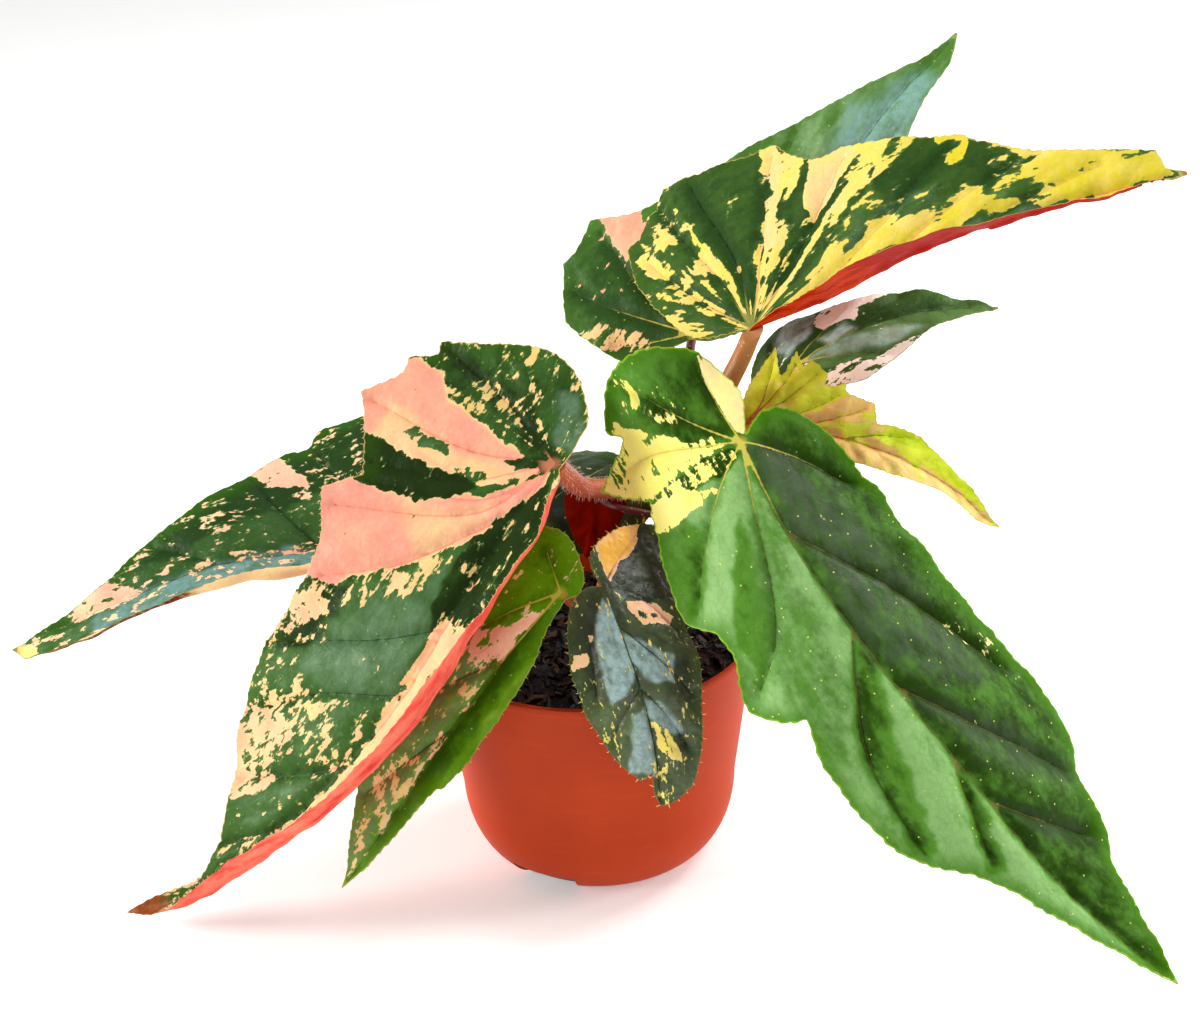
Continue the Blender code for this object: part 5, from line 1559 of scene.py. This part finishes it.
def shred(chance, top):
    """The points and colour values of one bark shred: a bent, tilted and rolled strip on the compost."""
    radius, turn = (top - SHRED_MARGIN) * math.sqrt(chance.random()), chance.uniform(0, 2 * math.pi)
    x, y = radius * math.cos(turn), radius * math.sin(turn)
    long, wide = chance.uniform(*SHRED_LENGTHS), chance.uniform(*SHRED_WIDTHS)
    thick, heading = chance.uniform(*SHRED_THICKNESSES), chance.uniform(0, 2 * math.pi)
    tilt, arch = chance.uniform(-SHRED_TILT, SHRED_TILT), chance.uniform(-SHRED_ARCH, SHRED_ARCH)
    shade, spin = chance.random(), chance.uniform(-SHRED_SPIN, SHRED_SPIN)
    points, values = [], []
    for step in range(SHRED_STEPS):
        t = step / (SHRED_STEPS - 1) - 0.5
        bow = arch * (0.25 - t * t)
        cx = x + math.cos(heading) * t * long - math.sin(heading) * bow
        cy = y + math.sin(heading) * t * long + math.cos(heading) * bow
        reach = math.hypot(cx, cy)
        if reach > top - SHRED_CLEAR:
            cx, cy = cx * (top - SHRED_CLEAR) / reach, cy * (top - SHRED_CLEAR) / reach
        cz = compost_level(cx, cy) + SHRED_CLEAR + tilt * t * long * 0.6 + abs(bow)
        width = wide * (1 - 1.3 * t * t) / 2
        for a, b in ((-1, -1), (1, -1), (1, 1), (-1, 1)):
            side = a * width * math.cos(spin) - b * thick / 2 * math.sin(spin)
            rise = a * width * math.sin(spin) + b * thick / 2 * math.cos(spin)
            points.append((cx - math.sin(heading) * side, cy + math.cos(heading) * side, cz + rise))
            values.append((shade, t * long, chance.random()))
    return points, values


def bark_material():
    s = Shade("bark compost")
    shade = s.parts(s.vector("grain"))[0]
    fine, broad = s.noise(s.where(), 0.0008, 4, 0.6), s.noise(s.where(), 0.006)
    light = s.add(s.times(s.times(shade, shade), 0.8), s.times(fine, 0.22), s.times(broad, 0.08))
    return s.finish(s.ramp(light, BARK_TONES), 0.34, s.bump(fine, 0.4), **{"Specular IOR Level": 0.2})


def make_compost():
    """The compost: a rough body that fills the pot, under a litter of bark shreds."""
    chance = random.Random(SEED)
    top = pot_radius(COMPOST_HEIGHT) - POT_WALL - COMPOST_GAP
    points, faces = compost_body(top)
    values = [(COMPOST_SHADE, 0.0, 0.0)] * len(points)
    for _ in range(SHREDS):
        base, last = len(points), len(points) + 4 * (SHRED_STEPS - 1)
        more, shades = shred(chance, top)
        points += more
        values += shades
        faces += [(base + 3, base + 2, base + 1, base), (last, last + 1, last + 2, last + 3)]
        faces += bands(SHRED_STEPS, 4, base)
    made = piece("compost_fine", points, faces, bark_material(), "compost", "compost", 40)
    put(made.data, "grain", *np.array(values).T)


def pot_material():
    s = Shade("pot plastic")
    where = s.where()
    broad = s.noise(where, 0.03, 3)
    scuff = s.noise(where, (0.02, 0.02, 0.0012), 3, shift=3.0)
    colour = s.mix(s.span(broad, 0.3, 0.7), *POT_TONES)
    colour = s.mix(s.span(scuff, 0.6, 0.75, 0.0, 0.12), colour, POT_SCUFF)
    gloss = s.span(broad, 0.3, 0.7, 0.5, 0.58)
    grain = s.bump(s.noise(where, 0.0006), 0.02)
    return s.finish(colour, gloss, grain, **{"Specular IOR Level": 0.14})


def pot_profile():
    """The pot's profile as points (radius, height): outside from the middle of the foot to the top of the
    lip, and inside from there to the middle of the floor."""
    lip, slot, drain = POT_HEIGHT - LIP_BAND, DRAIN_DEPTH + POT_WALL, DRAIN_INNER_RADIUS
    outside = [(0, 0), (drain - 1, 0), (drain, 0), (drain + 0.2, 0), (31, 0)]
    heights = (0, 0.5, 1.2, 2.4, 4, 6, DRAIN_DEPTH, 11, 14, 18, 22, 26, SHOULDER_HEIGHT, 50, 70,
               lip - 0.8, lip)
    outside += [(pot_radius(h), h) for h in heights]
    outside += [(pot_radius(lip) + 0.55, lip + 0.5), (RIM_RADIUS + LIP_BEAD, POT_HEIGHT - 1.0),
                (RIM_RADIUS + 0.3, POT_HEIGHT - 0.3), (RIM_RADIUS - 0.3, POT_HEIGHT)]
    inner = [(RIM_RADIUS - 1.3, POT_HEIGHT), (RIM_RADIUS - 1.8, POT_HEIGHT - 0.5)]
    heights = (POT_HEIGHT - 4, 70, 50, SHOULDER_HEIGHT, 20, 14, slot, 5, 2.5)
    inner += [(pot_radius(h) - POT_WALL, h) for h in heights]
    inner += [(radius, POT_WALL) for radius in (30, drain - 1.7, drain - 1.9, 0)]
    return outside, inner


def make_pot():
    """The pot as one smooth shell, with a bead round its lip and a slot on each side of its foot."""
    middles, half = [math.radians(angle) for angle in DRAIN_ANGLES], math.radians(DRAIN_SPREAD / 2)
    edges = [middle + side * half for middle in middles for side in (-1, 1)]
    turns = [2 * math.pi * i / POT_SEGMENTS for i in range(POT_SEGMENTS)]
    turns = [a for a in turns if all(abs(a - edge) > POT_EDGE_GAP for edge in edges)]
    turns = sorted(turns + [edge + side * POT_EDGE_GAP / 20 for edge in edges for side in (-1, 1)])
    outside, inner = pot_profile()
    points = []
    for k, (radius, height) in enumerate(outside + inner):
        for turn in turns:
            at, up = radius, height
            cut = any(abs(turn - middle) < half for middle in middles)
            if cut and k < len(outside) and radius > DRAIN_INNER_RADIUS and height < DRAIN_DEPTH:
                at, up = min(radius, pot_radius(DRAIN_DEPTH)), DRAIN_DEPTH
            if cut and k >= len(outside) and radius > DRAIN_INNER_RADIUS - 1.8:
                up = max(height, DRAIN_DEPTH + POT_WALL)
            points.append((at * math.cos(turn), at * math.sin(turn), up))
    faces = bands(len(outside) + len(inner), len(turns))
    piece("pot_fine", points, faces, pot_material(), "pot", "pot", 30)


def light(name, place, size, power, colour):
    lamp = bpy.data.lights.new(name, "AREA")
    lamp.shape, lamp.size, lamp.energy, lamp.color = "DISK", size, power, colour
    made = bpy.data.objects.new(name, lamp)
    made.location = place
    made.rotation_euler = (Vector(LAMPS_AIM) - Vector(place)).to_track_quat("-Z", "Y").to_euler()
    bpy.context.scene.collection.objects.link(made)


def make_stage():
    """A plain pale floor under a white sky, with soft light, the brightest from the left."""
    corners = [(x * FLOOR_REACH, y * FLOOR_REACH, 0) for x, y in ((-1, -1), (1, -1), (1, 1), (-1, 1))]
    mesh = bpy.data.meshes.new("floor")
    mesh.from_pydata(corners, [], [(0, 1, 2, 3)])
    s = Shade("floor")
    paper = s.mix(s.noise(s.where(), 0.05), *PAPER_TONES)
    glow = {"Emission Color": (1.0, 1.0, 1.0), "Emission Strength": FLOOR_GLOW}
    mesh.materials.append(s.finish(paper, 0.9, **glow))
    floor = bpy.data.objects.new("floor", mesh)
    bpy.context.scene.collection.objects.link(floor)
    world = bpy.data.worlds.new("studio")
    world.use_nodes = True
    sky = world.node_tree.nodes["Background"].inputs
    sky["Color"].default_value = (1.0, 1.0, 1.0, 1.0)
    sky["Strength"].default_value = WORLD_STRENGTH
    bpy.context.scene.world = world
    for name, lamp in LAMPS.items():
        light(name, *lamp)


def make_camera():
    elevation, roll = math.radians(VIEW_ELEVATION), math.radians(VIEW_ROLL)
    back = Vector((0, -math.cos(elevation), math.sin(elevation)))
    right, up = Vector((1, 0, 0)), Vector((0, math.sin(elevation), math.cos(elevation)))
    x = math.cos(roll) * right + math.sin(roll) * up
    y = -math.sin(roll) * right + math.cos(roll) * up
    camera = bpy.data.cameras.new("camera")
    camera.lens, camera.sensor_width, camera.clip_start = VIEW_LENS, VIEW_SENSOR, 0.01
    made = bpy.data.objects.new("camera", camera)
    turned = Matrix((x, y, back)).transposed().to_4x4()
    made.matrix_world = Matrix.Translation((Vector(VIEW_TARGET) + VIEW_DISTANCE * back) * MM) @ turned
    bpy.context.scene.collection.objects.link(made)
    bpy.context.scene.camera = made


STEM_SKIN = stem_material()
HAIRS = hair_material()
for each in BLADES:
    make_blade(each, LOOKS[each.name])
make_cane("cane_tall", "cane_orange", CANE_TALL, TALL_PETIOLES, TALL_NODES)
make_cane("cane_short", "cane_pink", CANE_SHORT, SHORT_PETIOLES, SHORT_NODES)
make_compost()
make_pot()
make_stage()
make_camera()
bpy.context.scene.view_settings.view_transform = "Standard"
